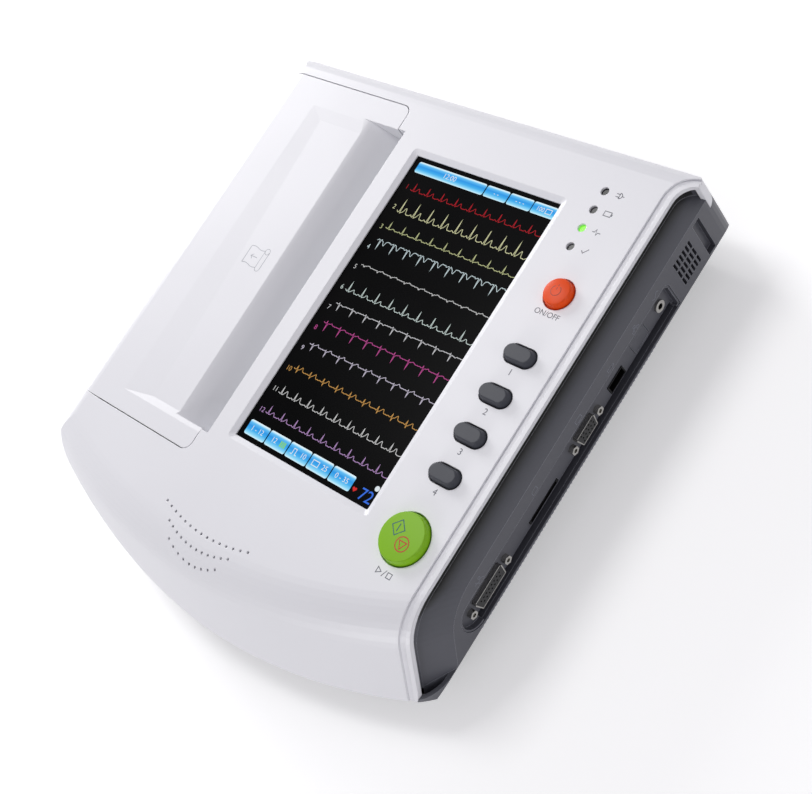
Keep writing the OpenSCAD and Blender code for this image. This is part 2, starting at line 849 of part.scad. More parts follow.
module vga_connector() {
    color("silver") d_connector(video_y, video_shell, video_pitch, [5, 5, 5]);
}

module ecg_connector() {
    color("silver") d_connector(patient_y, patient_shell, patient_pitch, [7, 8]);
}

module jackscrews() {
    color("gainsboro")
        for (y = jackscrew_ys)
            translate([0, y, port_z]) rotate([0, 90, 0]) {
                difference() {
                    translate([0, 0, tray_x]) cylinder(r = 2.75, h = 3, $fn = 6);
                    translate([0, 0, tray_x + 1]) cylinder(r = 1.2, h = 3);
                }
                translate([0, 0, port_face_x - 2]) cylinder(r = 1.3, h = tray_x - port_face_x + 2);
            }
}

module usb_port() {
    color("silver") difference() {
        union() {
            box([half_w - 19, usb_y - usb_w / 2, board_z], [behind_groove_x, usb_y + usb_w / 2, usb_z + usb_h / 2]);
            box([behind_groove_x - over, usb_y - usb_w / 2, usb_z - usb_h / 2],
                [tray_x + 0.5, usb_y + usb_w / 2, usb_z + usb_h / 2]);
        }
        difference() {
            box([half_w - 15, usb_y - usb_w / 2 + 0.8, usb_z - usb_h / 2 + 0.6],
                [half_w, usb_y + usb_w / 2 - 0.8, usb_z + usb_h / 2 - 0.6]);
            box([half_w - 15, usb_y - usb_w / 2 + 2, usb_z + 0.4],
                [tray_x - 1, usb_y + usb_w / 2 - 2, usb_z + usb_h / 2]);
        }
    }
}

module card_slot() {
    color("silver") difference() {
        union() {
            box([half_w - 34, card_y - card_w / 2, board_z], [behind_groove_x, card_y + card_w / 2, card_z + card_h]);
            box([behind_groove_x - over, card_y - card_w / 2, card_z],
                [tray_x + 0.3, card_y + card_w / 2, card_z + card_h]);
        }
        box([half_w - 30, card_y - card_w / 2 + 1.6, card_z + 0.3],
            [half_w, card_y + card_w / 2 - 1.6, card_z + card_h - 0.3]);
    }
}

module network_port() {
    color("silver") difference() {
        union() {
            box([half_w - 26, network_y - 8, board_z], [behind_groove_x, network_y + 8, board_z + 13]);
            box([behind_groove_x - over, network_y - 8, over_groove_z],
                [port_face_x - 0.8, network_y + 8, board_z + 13]);
        }
        box([half_w - 20, network_y - 5.9, network_z - 3.4], [half_w, network_y + 5.9, network_z + 3.1]);
        box([half_w - 20, network_y - 3, network_z + 3], [half_w, network_y + 3, network_z + 4.4]);
    }
}

flap_gap = 0.35;
flap_pivot_r = 1;
flap_axis_x = tray_x - flap_pivot_r;
flap_axis_z = network_z + flap_h / 2 - flap_gap - flap_pivot_r;

// Flap over the network port, hinged along its top edge
module network_cover() {
    color([0.26, 0.26, 0.29])
        translate([0, network_y - flap_w / 2 + flap_gap, 0]) difference() {
            union() {
                box([port_face_x + 0.2, 0, network_z - flap_h / 2 + flap_gap],
                    [tray_x, flap_w - 2 * flap_gap, flap_axis_z]);
                translate([flap_axis_x, 0, flap_axis_z])
                    rod_y(flap_pivot_r, 0, flap_w - 2 * flap_gap);
            }
            box([port_face_x, -over, flap_axis_z - 0.01], [flap_axis_x - flap_pivot_r - 0.01, far, far]);
        }
}

module signal_jack() {
    color("gainsboro") translate([0, jack_y, port_z + 1.6]) rotate([0, 90, 0]) difference() {
        union() {
            translate([0, 0, tray_x]) cylinder(r = jack_r, h = 1.6);
            translate([0, 0, port_face_x - 1]) cylinder(r = jack_r - 0.95, h = channel_deep);
            translate([-4.5, -4.5, port_face_x - 11]) cube([9, 9, 10.8]);
        }
        translate([0, 0, port_face_x - 9]) cylinder(r = 1.8, h = 40);
    }
}

// ---- screen ----

ear_z = under_top - window_t - display_t;
display_mid = [screen_x + screen_w / 2, screen_y + screen_l / 2];
display_posts = [for (sx = [-1, 1], sy = [-1, 1])
    [display_mid[0] + sx * (screen_w / 2 + 7), display_mid[1] + sy * (screen_l / 2 - 24)]];

// A plate over the screen's middle, larger than the screen by g on each side
module screen_plate(g, h) {
    translate([display_mid[0], display_mid[1], 0])
        linear_extrude(h) square([screen_w + 2 * g, screen_l + 2 * g], center = true);
}

module screen_window() {
    color([0.12, 0.13, 0.15, 0.9]) translate([0, 0, under_top - window_t]) screen_plate(2.5, window_t);
}

module lcd_module() {
    color("silver") difference() {
        translate([0, 0, ear_z]) screen_plate(3, display_t);
        translate([0, 0, ear_z - over]) screen_plate(-8, over + 1.2);
    }
}

module lcd_bracket() {
    color("darkgray") translate([0, 0, ear_z - 1.2]) difference() {
        union() {
            linear_extrude(1.2) difference() {
                translate(display_mid) square([screen_w + 6, screen_l + 6], center = true);
                for (k = [-1:1])
                    translate(display_mid + [0, k * (screen_l / 3)])
                        square([screen_w - 20, screen_l / 3 - 14], center = true);
            }
            for (p = display_posts)
                hull() {
                    translate([p[0], p[1], 0]) cylinder(r = 4, h = 1.2, $fn = 32);
                    translate([p[0] + (p[0] > display_mid[0] ? -5 : 5), p[1], 0])
                        cylinder(r = 4, h = 1.2, $fn = 32);
                }
        }
        pillars(display_posts, -over, small_hole_r, 4);
    }
}

// A small pan-head screw up into a post whose foot is at z
module small_screw(p, z) {
    translate([p[0], p[1], z]) {
        translate([0, 0, -1.4]) cylinder(r = 2, h = 1.4);
        cylinder(r = small_screw_r - 0.02, h = 4);
    }
}

module inner_screws() {
    color("gray") {
        for (p = display_posts) small_screw(p, ear_z - 1.2);
        for (p = key_board_posts) small_screw(p, key_board_z);
        // Down into the housing's posts
        for (p = board_posts)
            translate([0, 0, 2 * board_z]) mirror([0, 0, 1]) small_screw(p, board_z);
        for (p = power_posts)
            translate([0, 0, 2 * (power_z + board_t)]) mirror([0, 0, 1]) small_screw(p, power_z + board_t);
    }
}

// ---- keys ----

switch_h = 3.5;
key_board_z = under_top - 13.1;
switch_top = key_board_z + board_t + switch_h;
key_foot_z = switch_top + key_travel + 0.05;
flange_top = under_top - 0.2;
flange_t = 1.4;
key_board_x0 = key_x - 20.5;
key_board_x1 = key_x + 19.5;
key_board_posts = [
    [key_board_x0 + 3.5, start_y + 27], [key_board_x1 - 3.5, start_y + 27],
    [key_board_x0 + 3.5, power_y - 19], [key_board_x1 - 3.5, power_y - 19],
    [key_x + 8, lamp_y - 18]
];

module key_board() {
    color("seagreen") difference() {
        box([key_board_x0, start_y - start_r - 4, key_board_z], [key_board_x1, lamp_y + 6, key_board_z + board_t]);
        pillars(key_board_posts, 0, small_hole_r, body_h);
    }
}

module key_switches() {
    z = key_board_z + board_t;
    color("dimgray")
        for (y = concat([start_y, power_y], key_ys))
            translate([key_x, y, z]) {
                translate([-3, -3, 0]) cube([6, 6, switch_h - 0.8]);
                cylinder(r = 1.7, h = switch_h);
            }
}

module status_lenses() {
    color([0.35, 0.75, 0.4])
        for (y = lamp_ys)
            translate([lamp_x, y, 0]) {
                translate([0, 0, key_board_z + board_t])
                    cylinder(r = lamp_r - 0.3, h = body_h - 1.4 - key_board_z - board_t);
                translate([0, 0, flange_top - 1.2]) cylinder(r = lamp_r + 0.8, h = 1.2);
            }
}

// A round key of radius r with a domed top, at the key column's y
module round_key(y, r, rise, dome) {
    top = r - key_draft;
    ball = (top * top + dome * dome) / (2 * dome);
    translate([key_x, y, 0])
        rotate_extrude()
            polygon(concat(
                [[0, key_foot_z], [r - 2, key_foot_z], [r - 2, flange_top - flange_t],
                 [r + key_gap + 1, flange_top - flange_t], [r + key_gap + 1, flange_top],
                 [r, flange_top], [r, body_h], [top + 0.4, body_h + rise - 1], [top, body_h + rise - 0.3]],
                arc(0, body_h + rise - 0.3 + dome - ball, ball, asin((ball - dome) / ball), 90, 6)
            ));
}

module power_button() {
    color("darkorange") round_key(power_y, power_r, key_rise, 0.8);
}

module start_button() {
    color([0.1, 0.6, 0.2]) round_key(start_y, start_r, key_rise + 0.5, 0.5);
}

// An oval bar l long and w wide from z0 to z1, its top smaller by d all round
module oval(l, w, d, z0, z1) {
    a = (l - w) / 2;
    for (s = [-1, 1]) translate([s * a, 0, z0]) cylinder(r1 = w / 2, r2 = w / 2 - d, h = z1 - z0);
    bar_x(-a, a) polygon([[-w / 2, z0], [w / 2, z0], [w / 2 - d, z1], [d - w / 2, z1]]);
}

module oval_key(k) {
    color("gainsboro") translate([key_x, key_ys[k], 0]) {
        oval(key_l - 4, key_w - 4, 0, key_foot_z, flange_top - 1);
        oval(key_l + 2 * key_gap + 2, key_w + 2 * key_gap + 2, 0, flange_top - flange_t, flange_top);
        oval(key_l, key_w, 0, flange_top - 0.01, body_h);
        oval(key_l, key_w, key_draft, body_h, body_h + key_rise - 0.5);
        oval(key_l - 2 * key_draft, key_w - 2 * key_draft, 0.5, body_h + key_rise - 0.5,
             body_h + key_rise);
    }
}

module key_1() { oval_key(0); }
module key_2() { oval_key(1); }
module key_3() { oval_key(2); }
module key_4() { oval_key(3); }

// ---- paper door ----

slot_left = trough_right - slot_w;
bracket_t = 2;
bracket_ys = [trough_front - 3 - bracket_t, trough_back + 3];
plate_ys = [trough_front - 5.5 - sheet_t, trough_back + 5.5];
knuckle_l = 18;

// The trough's surface as x and z, sunk by i
function trough_points(i) =
    let (b = trough_bend, s = trough_slope,
         x0 = trough_left,
         x1 = x0 + b * sin(s), z1 = body_h - b * (1 - cos(s)),
         e = (slot_left - x1))
    concat(
        [[x0 - 2, body_h - i]],
        arc(x0, body_h - b, b - i, 90, 90 - s, 6),
        [[slot_left, z1 - e * tan(s) - i / cos(s)]]
    );

hollow_x = -124.5;
hollow_d = 1.2;
hollow_tilt = hollow_d / 25.5;
trough_end_z = trough_points(0)[8][1];
lip_t = 2;
trough_lip_z = trough_end_z - 3;

module paper_door() {
    color("whitesmoke") difference() {
        union() {
            // Skin
            difference() {
                intersection() {
                    form();
                    translate([0, 0, hinge_z]) linear_extrude(body_h) door_outline(0);
                    box([-far, door_front, 0], [far, door_back, body_h]);
                }
                form(wall);
            }
            // Stiffening rim
            intersection() {
                form(wall / 2);
                translate([0, 0, body_h - 11]) linear_extrude(11) difference() {
                    door_outline(-1.5);
                    door_outline(-3);
                    translate([-far, door_front]) square([far + hinge_x + 6, door_back - door_front]);
                }
            }
            // Hinge barrel
            translate([hinge_x, 0, hinge_z]) rod_y(barrel_r, door_front, door_back);
            // Trough, with its ends and its lip at the slot
            bar_y(trough_front - wall, trough_back + wall)
                    polygon(concat(
                        [for (k = [0:7]) trough_points(wall)[k]],
                        [[slot_left - lip_t, trough_points(wall)[8][1] + lip_t * tan(trough_slope)],
                         [slot_left - lip_t, trough_lip_z], [slot_left, trough_lip_z],
                         [slot_left, body_h - 0.5], [trough_left - 2, body_h - 0.5]]
                    ));
            // Seats of the brackets
            for (y = [bracket_ys[0] - 3, bracket_ys[1] + bracket_t])
                box([platen_x - 9, y, body_h - 9], [platen_x + 4, y + 3, under_top + 1]);
        }
        // The trough's hollow
        bar_y(trough_front, trough_back)
            polygon(concat(
                trough_points(0),
                [[slot_left + over, trough_end_z], [slot_left + over, 2 * body_h],
                 [trough_left - 2, 2 * body_h]]
            ));
        // Shallow hollow round the trough: one slope falls to the right, and
        // its floor rises to the back
        intersection() {
            bar_y(-far, far)
                polygon([[hollow_x - 30, body_h + 30 * hollow_tilt],
                         [hollow_x + far, body_h - far * hollow_tilt], [hollow_x + far, 2 * body_h],
                         [hollow_x - 30, 2 * body_h]]);
            bar_x(-far, far)
                polygon([[trough_front - 8, 2 * body_h], [trough_front - 8, body_h + hollow_d],
                         [trough_front + 2, body_h - hollow_d], [trough_back - 10, body_h - hollow_d / 2],
                         [trough_back + 15, body_h + hollow_d], [trough_back + 15, 2 * body_h]]);
        }
        // Beyond the trough's ends the door stops at its own right edge
        for (y = [trough_front - wall - over, trough_back])
            box([door_right + fit, y, 0], [slot_left + over, y + wall + over, 2 * body_h]);
        translate([hinge_x, 0, hinge_z]) {
            rod_y(pin_r + run_gap, door_front - over, door_front + knuckle_l);
            rod_y(pin_r + run_gap, door_back - knuckle_l, door_back + over);
        }
    }
}

module hinge_pins() {
    color("silver") translate([hinge_x, 0, hinge_z]) {
        rod_y(pin_r, door_front - seam - boss_l, door_front + knuckle_l - 1);
        rod_y(pin_r, door_back - knuckle_l + 1, door_back + seam + boss_l);
    }
}

module platen_brackets() {
    color("silver")
        for (y = bracket_ys)
            bar_y(y, y + bracket_t) difference() {
                polygon([
                    [platen_x - 9, under_top - 0.1], [platen_x + 4, under_top - 0.1],
                    [platen_x + 4, platen_z + 16], [platen_x + 7.2, platen_z + 9],
                    [platen_x + 7.2, platen_z], [platen_x + 4, platen_z - 7.5],
                    [platen_x - 4, platen_z - 7.5], [platen_x - 7.2, platen_z], [platen_x - 9, platen_z + 14]
                ]);
                translate([platen_x, platen_z]) circle(r = bush_r);
            }
}

bush_ys = [[bracket_ys[1], plate_ys[1] + sheet_t + 1], [plate_ys[0] - 1, bracket_ys[0] + bracket_t]];

module platen_bushings() {
    color("ivory") translate([platen_x, 0, platen_z]) difference() {
        union() {
            rod_y(bush_r, bush_ys[0][0] - 1.2, bush_ys[0][1]);
            rod_y(bush_r + 1.5, bush_ys[0][0] - 1.2, bush_ys[0][0]);
            rod_y(bush_r, bush_ys[1][0], bush_ys[1][1] + 1.2);
            rod_y(bush_r + 1.5, bush_ys[1][1], bush_ys[1][1] + 1.2);
        }
        rod_y(shaft_r + run_gap, -far, far);
    }
}

// ---- platen and drive ----

gear_y = plate_ys[1] + sheet_t + 1.7;
// Set-back of the cover's wall where the gear swings by
gear_relief = 0.9;
shaft_y0 = plate_ys[0] - 3;
shaft_y1 = gear_y + gear_w + 0.6;
rubber_half = paper_w / 2 + rubber_over;

module platen_roller() {
    color([0.2, 0.2, 0.22]) translate([platen_x, 0, platen_z]) difference() {
        rod_y(platen_r, roll_mid - rubber_half, roll_mid + rubber_half);
        rod_y(shaft_r, -far, far);
    }
}

module platen_shaft() {
    color("silver") translate([platen_x, 0, platen_z]) rod_y(shaft_r, shaft_y0, shaft_y1);
}

// Half the angle that a tooth of n fills at the roller's circle, less backlash
backlash = 0.12;
pressure = 20;
function flank_r(n, t) = gear_m * n * cos(pressure) / 2 * sqrt(1 + pow(t * PI / 180, 2));
function flank_a(n, t) = t - atan(t * PI / 180);
function tooth_a(n) = 90 / n - backlash / (gear_m * n) * 180 / PI
    + flank_a(n, tan(pressure) * 180 / PI);

// Outline of a spur gear with n involute teeth, one of them centred at angle turn
module gear_outline(n, turn) {
    tip = gear_m * (n / 2 + 0.95);
    root = gear_m * (n / 2 - 1.25);
    t_tip = sqrt(pow(2 * tip / (gear_m * n * cos(pressure)), 2) - 1) * 180 / PI;
    half = tooth_a(n);
    polygon([for (k = [0:n - 1], s = [-1, 1], j = [0:6])
        let (c = turn + k * 360 / n,
             u = s < 0 ? j : 6 - j,
             t = u == 0 ? 0 : t_tip * (u - 1) / 5,
             r = u == 0 ? root : flank_r(n, t),
             a = c + s * (half - (u == 0 ? 0 : flank_a(n, t))))
        [r * cos(a), r * sin(a)]]);
}

drive_angle = -105;
motor_angle = 185;
idler_x = platen_x + gear_m * (platen_teeth + idler_teeth) / 2 * cos(drive_angle);
idler_z = platen_z + gear_m * (platen_teeth + idler_teeth) / 2 * sin(drive_angle);
motor_x = idler_x + gear_m * (idler_teeth + pinion_teeth) / 2 * cos(motor_angle);
motor_z = idler_z + gear_m * (idler_teeth + pinion_teeth) / 2 * sin(motor_angle);
// The idler has a tooth towards the platen, which has a gap there
idler_turn = drive_angle + 180;
platen_turn = drive_angle + 180 / platen_teeth;
// The pinion has a tooth where the idler has a gap along their centre line
idler_at_pinion = (motor_angle - idler_turn) * idler_teeth / 360;
pinion_turn = motor_angle + 180
    + (idler_at_pinion - floor(idler_at_pinion) + 0.5) * 360 / pinion_teeth;

module platen_gear() {
    color("ivory") translate([platen_x, 0, platen_z]) bar_y(gear_y, gear_y + gear_w) difference() {
        gear_outline(platen_teeth, platen_turn);
        circle(r = shaft_r);
    }
}

module idler_gear() {
    color("ivory") translate([idler_x, 0, idler_z]) bar_y(gear_y, gear_y + gear_w) difference() {
        gear_outline(idler_teeth, idler_turn);
        circle(r = 2 + run_gap);
        for (a = [0:60:300]) rotate(a) translate([5.4, 0]) circle(r = 1.3);
    }
}

module idler_axle() {
    color("silver") translate([idler_x, 0, idler_z]) {
        rod_y(2, plate_ys[1], gear_y + gear_w + 0.8);
        rod_y(3.2, gear_y + gear_w + 0.3, gear_y + gear_w + 1.1);
        rod_y(3.2, plate_ys[1] + sheet_t, gear_y - 0.3);
    }
}

module motor_pinion() {
    color("goldenrod") translate([motor_x, 0, motor_z]) bar_y(gear_y, gear_y + gear_w) difference() {
        gear_outline(pinion_teeth, pinion_turn);
        circle(r = 1.5);
    }
}

module motor_shaft() {
    color("silver") translate([motor_x, 0, motor_z])
        rod_y(1.5, plate_ys[1] - motor_l + 4, gear_y + gear_w + 0.5);
}

module printer_motor() {
    y1 = plate_ys[1];
    color("dimgray") translate([motor_x, 0, motor_z]) difference() {
        union() {
            rod_y(motor_r, y1 - motor_l, y1);
            bar_y(y1 - 1, y1) stadium(2 * motor_r + 8, 6);
            rod_y(4, y1 - over, y1 + sheet_t);
        }
        rod_y(1.5 + run_gap, y1 - motor_l + 4 - run_gap, far);
        for (s = [-1, 1]) translate([s * (motor_r + 1), 0, 0]) rod_y(1.4, 0, far);
    }
}

// ---- thermal head ----

// Along the head's face (up) and away from the platen
head_n = [cos(head_angle), -sin(head_angle)];
head_u = [sin(head_angle), cos(head_angle)];
function at_head(n, u) = [platen_x, platen_z] + (platen_r + n) * head_n + u * head_u;
head_half = 8;
sink_n = paper_gap + head_t;
head_back = sink_n + sink_t;
spring_l = 4.5;
spring_u = 3;
cross_n = head_back + spring_l + 0.25;
head_pivot_n = sink_n + sink_t / 2;
head_pivot_u = -head_half - 2.6;
head_pivot = at_head(head_pivot_n, head_pivot_u);
head_y0 = roll_mid - paper_w / 2 - 1;
head_y1 = roll_mid + paper_w / 2 + 1;

module thermal_head() {
    color("peru") bar_y(head_y0, head_y1)
        polygon([at_head(paper_gap, -3), at_head(paper_gap, 3), at_head(paper_gap + 0.4, head_half),
                 at_head(sink_n, head_half), at_head(sink_n, 2 - head_half), at_head(paper_gap + 0.4, 2 - head_half)]);
}

module head_heatsink() {
    color("silver") difference() {
        union() {
            bar_y(head_y0, head_y1) difference() {
                polygon([at_head(sink_n, head_half), at_head(head_back, head_half),
                         at_head(head_back, head_pivot_u + 1), at_head(sink_n, head_pivot_u + 1)]);
                // Fins
                for (u = [-head_half + 4, head_half - 5.6])
                    polygon([at_head(head_back - 2.4, u), at_head(head_back + over, u),
                             at_head(head_back + over, u + 1.6), at_head(head_back - 2.4, u + 1.6)]);
            }
            translate([head_pivot[0], 0, head_pivot[1]]) rod_y(3.6, head_y0, head_y1);
        }
        translate([head_pivot[0], 0, head_pivot[1]]) rod_y(pin_r + run_gap, -far, far);
    }
}

module head_pivot_rod() {
    color("silver") translate([head_pivot[0], 0, head_pivot[1]])
        rod_y(pin_r, plate_ys[0], plate_ys[1] + sheet_t);
}

// Points of a square-wire coil of radius r, wire w, n turns over length l
function coil_ring(k, steps, r, w, n, l) =
    let (a = 360 * n * k / steps, z = w / 2 + (l - w) * k / steps)
    [for (c = [[-1, -1], [1, -1], [1, 1], [-1, 1]])
        [(r + c[0] * w / 2) * cos(a), (r + c[0] * w / 2) * sin(a), z + c[1] * w / 2]];

module coil(r, w, n, l) {
    steps = 16 * n;
    pts = [for (k = [0:steps]) each coil_ring(k, steps, r, w, n, l)];
    polyhedron(pts, concat(
        [[3, 2, 1, 0]],
        [for (k = [0:steps - 1], c = [0:3])
            let (b = 4 * k, d = (c + 1) % 4) each [[b + c, b + d, b + 4 + c], [b + d, b + 4 + d, b + 4 + c]]],
        [[4 * steps, 4 * steps + 1, 4 * steps + 2, 4 * steps + 3]]
    ), convexity = 10);
}

spring_ys = [roll_mid - 80, roll_mid, roll_mid + 80];

module head_springs() {
    p = at_head(head_back, spring_u);
    color("darkgray")
        for (y = spring_ys)
            translate([p[0], y, p[1]]) rotate([0, 90 + head_angle, 0]) coil(2.4, 0.7, 4, spring_l);
}

// ---- printer frame ----

frame_z = floor_z + 1.5;
frame_x0 = motor_x - motor_r - 4;
frame_x1 = bay_wall_x - 2;
frame_pads = [[frame_x0 + 5, -60], [frame_x1 - 5, -60], [frame_x0 + 5, 100], [frame_x1 - 5, 100]];

module printer_frame() {
    top = platen_z + 8.5;
    mouth = bush_r + run_gap;
    color("slategray") difference() {
        union() {
            bar_y(plate_ys[0], plate_ys[1] + sheet_t)
                polygon([[frame_x0, frame_z], [frame_x1, frame_z], [frame_x1, frame_z + sheet_t],
                         [frame_x0, frame_z + sheet_t]]);
            for (y = plate_ys)
                bar_y(y, y + sheet_t) polygon([
                    [frame_x0, frame_z], [frame_x1, frame_z], [frame_x1, platen_z - 2],
                    [platen_x + 14, top], [platen_x - 10, top], [frame_x0, motor_z + motor_r + 3]
                ]);
            // Cross plate behind the head
            bar_y(plate_ys[0], plate_ys[1] + sheet_t)
                polygon([at_head(cross_n, head_half), at_head(cross_n + sheet_t, head_half),
                         at_head(cross_n + sheet_t, cross_low_u), at_head(cross_n, cross_low_u)]);
        }
        // Notches for the platen's bushings
        for (y = plate_ys)
            bar_y(y - over, y + sheet_t + over) translate([platen_x, platen_z]) {
                circle(r = mouth);
                polygon([[-mouth, 0], [mouth, 0], [mouth, 5], [mouth + 3, 12], [-mouth - 3, 12], [-mouth, 5]]);
            }
        translate([head_pivot[0], 0, head_pivot[1]]) rod_y(pin_r, -far, far);
        translate([idler_x, 0, idler_z]) rod_y(2, 0, far);
        translate([motor_x, 0, motor_z]) {
            rod_y(4, 0, far);
            for (s = [-1, 1]) translate([s * (motor_r + 1), 0, 0]) rod_y(1.4, 0, far);
        }
        pillars(frame_pads, 0, small_hole_r, body_h);
    }
}

cross_low_u = (frame_z + sheet_t / 2 - at_head(cross_n, 0)[1]) / cos(head_angle);

// Serrated steel edge on the cover's side of the slot
module tear_bar() {
    pitch = 2;
    n = floor(paper_w / pitch);
    y0 = roll_mid - n * pitch / 2;
    x = trough_right - 0.8;
    color("silver") translate([x, 0, 0]) bar_x(0, 0.75)
        polygon(concat(
            [[y0, under_top - 12], [y0, under_top - 1]],
            [for (k = [0:n - 1]) each [[y0 + (k + 0.5) * pitch, under_top + 0.6], [y0 + (k + 1) * pitch, under_top - 1]]],
            [[y0 + n * pitch, under_top - 12]]
        ));
}

// ---- paper ----

module paper_roll() {
    color("white") translate([roll_x, 0, roll_z]) difference() {
        rod_y(roll_r, roll_mid - paper_w / 2, roll_mid + paper_w / 2);
        rod_y(core_r, -far, far);
    }
}

module paper_core() {
    color("burlywood") translate([roll_x, 0, roll_z]) difference() {
        rod_y(core_r, roll_mid - paper_w / 2, roll_mid + paper_w / 2);
        rod_y(core_r - 1.5, -far, far);
    }
}

module paper_spindle() {
    color("dimgray") translate([roll_x, 0, roll_z]) {
        rod_y(spindle_r, cradle_ys[0] - 2, cradle_ys[1] + wall + 2);
        for (y = [roll_mid - paper_w / 2 - 1.5, roll_mid + paper_w / 2])
            rod_y(core_r + 3, y, y + 1.5);
        for (y = [roll_mid - paper_w / 2, roll_mid + paper_w / 2 - 14])
            rod_y(core_r - 1.5, y, y + 14);
    }
}

// ---- electronics ----

module main_board() {
    z = board_z;
    color("darkgreen") difference() {
        union() {
            box([board_x0, channel_front, z - board_t], [behind_groove_x - 0.2, channel_back - 3, z]);
            box([60, 40, z], [84, 64, z + 2.2]);
            box([62, 72, z], [80, 84, z + 1.4]);
            box([100, 44, z], [114, 54, z + 1.4]);
            box([100, 70, z], [112, 82, z + 1.7]);
            box([52, 96, z], [76, 103, z + 6]);
            box([104, 96, z], [124, 103, z + 6]);
            for (k = [0:3]) translate([56 + 9 * k, 16, z]) cylinder(r = 3.2, h = 8);
        }
        pillars(board_posts, 0, small_hole_r, body_h);
    }
}

module ecg_shield() {
    color("silver") difference() {
        box([half_w - 74, patient_y - 24, board_z], [half_w - 30, patient_y + 24, board_z + 8]);
        box([half_w - 73.4, patient_y - 23.4, board_z - over],
            [half_w - 30.6, patient_y + 23.4, board_z + 7.4]);
    }
}

module power_supply() {
    z = power_z + board_t;
    color("darkolivegreen") difference() {
        union() {
            box([-19, supply_y, power_z], [43, supply_y + 38, z]);
            box([-4, supply_y + 11, z], [16, supply_y + 29, z + 17]);
            box([24, supply_y + 11, z], [27, supply_y + 31, z + 15]);
            translate([34, supply_y + 19, z]) cylinder(r = 5, h = 14);
            translate([-12, supply_y + 19, z]) cylinder(r = 4, h = 12);
            box([2, supply_y + 32, z], [20, supply_y + 37, z + 8]);
        }
        pillars(power_posts, 0, small_hole_r, body_h);
    }
}

inlet_x = 68;
inlet_z = 32;
earth_x = 106;
earth_r = 2.5;

module inlet_hole() {
    box([-14, 0, -10], [14, half_d, 10]);
}

module mains_inlet() {
    y0 = pocket_y;
    color([0.1, 0.1, 0.1]) translate([inlet_x, 0, inlet_z]) difference() {
        union() {
            box([-15.4, y0, -12], [15.4, y0 + 2.4, 12]);
            box([-13.8, y0 - 20, -9.8], [13.8, y0 + over, 9.8]);
        }
        bar_y(y0 - 15, far) polygon([[-12, -7.8], [-7, -7.8 - 0.01], [7, -7.8 - 0.01], [12, -7.8],
            [12, 4], [8.5, 7.8], [-8.5, 7.8], [-12, 4]]);
        for (x = [-7, 0, 7]) translate([x, 0, x == 0 ? 2.4 : -1.6]) box([-0.8, y0 - 19, -2], [0.8, y0, 2]);
    }
}

module earth_terminal() {
    color("gold") translate([earth_x, 0, inlet_z]) {
        rod_y(earth_r, pocket_y - wall - 5, pocket_y + 10);
        rod_y(5, pocket_y, pocket_y + 1.6);
        rod_y(3.2, pocket_y + 8, pocket_y + 10);
        translate([0, pocket_y - wall, 0]) rotate([90, 0, 0]) cylinder(r = 4.6, h = 3, $fn = 6);
    }
}

module battery_pack() {
    z0 = foot_h + cover_plate_t + 0.3;
    r = battery_h / 2;
    color("royalblue") bar_x(battery_x - battery_l / 2, battery_x + battery_l / 2)
        translate([battery_y, z0]) {
            translate([-battery_w / 2 + 3, 0]) square([battery_w - 6, battery_h]);
            translate([-battery_w / 2, 3]) square([battery_w, battery_h - 6]);
            for (s = [-1, 1], z = [3, battery_h - 3]) translate([s * (battery_w / 2 - 3), z]) circle(r = 3);
        }
}

// Plate of the battery cover with its screw tab, grown by g, from z0 to z1
module battery_cover_plate(g, z0, z1) {
    translate([0, 0, z0]) linear_extrude(z1 - z0) {
        translate([battery_x, battery_y]) square([bay_l + 8 + 2 * g, bay_w + 8 + 2 * g], center = true);
        translate([battery_x, cover_tab_y]) circle(r = 7 + g);
        translate([battery_x, battery_y + bay_w / 2]) square([14 + 2 * g, 14 + 2 * g], center = true);
    }
}

module battery_cover() {
    color("dimgray") difference() {
        battery_cover_plate(0, foot_h, foot_h + cover_plate_t);
        translate([battery_x, cover_tab_y, 0]) cylinder(r = screw_r + 0.2, h = body_h);
        // Grip ribs
        for (k = [0:4])
            box([battery_x - 14, battery_y - bay_w / 2 + 4 + k * 3, 0],
                [battery_x + 14, battery_y - bay_w / 2 + 5.4 + k * 3, foot_h + 0.7]);
    }
}

module housing_screws() {
    color("gray") {
        pillars(post_at, head_sink_z - 2.2, head_r, 2.2);
        pillars(post_at, head_sink_z - 2.2, screw_r - 0.02, post_z - head_sink_z + pilot_l + 0.2);
        translate([battery_x, cover_tab_y, foot_h - 1.6]) {
            cylinder(r = head_r, h = 1.6);
            cylinder(r = screw_r - 0.02, h = 9);
        }
    }
}

foot_at = [for (s = [-1, 1], f = [[52, 78 - half_d], [48, half_d - 40]]) [s * (half_w - f[0]), f[1]]];

module rubber_feet() {
    color([0.15, 0.15, 0.15])
        for (p = foot_at)
            translate([p[0], p[1], 0])
                rotate_extrude() polygon([[0, 0], [foot_r - 1.5, 0], [foot_r - 0.5, 1], [foot_r, foot_h], [0, foot_h]]);
}

module speaker() {
    color("dimgray") translate([speaker_at[0], speaker_at[1], speaker_z]) rotate_extrude()
        polygon([[0, 0], [speaker_r - 4, 0], [speaker_r - 3, 3], [speaker_r, 4], [speaker_r, speaker_h],
                 [speaker_r - 1.5, speaker_h], [speaker_r - 3, speaker_h - 0.8], [0, speaker_h - 2]]);
}

// A flat cable w wide through the points p, standing on the section plane
module flat_cable(p, t) {
    for (k = [0:len(p) - 2]) let (d = p[k + 1] - p[k], n = [-d[1], d[0]] / norm(d) * t / 2)
        polygon([p[k] - n, p[k + 1] - n, p[k + 1] + n, p[k] + n]);
    for (k = [1:len(p) - 2]) translate(p[k]) circle(d = t, $fn = 16);
}

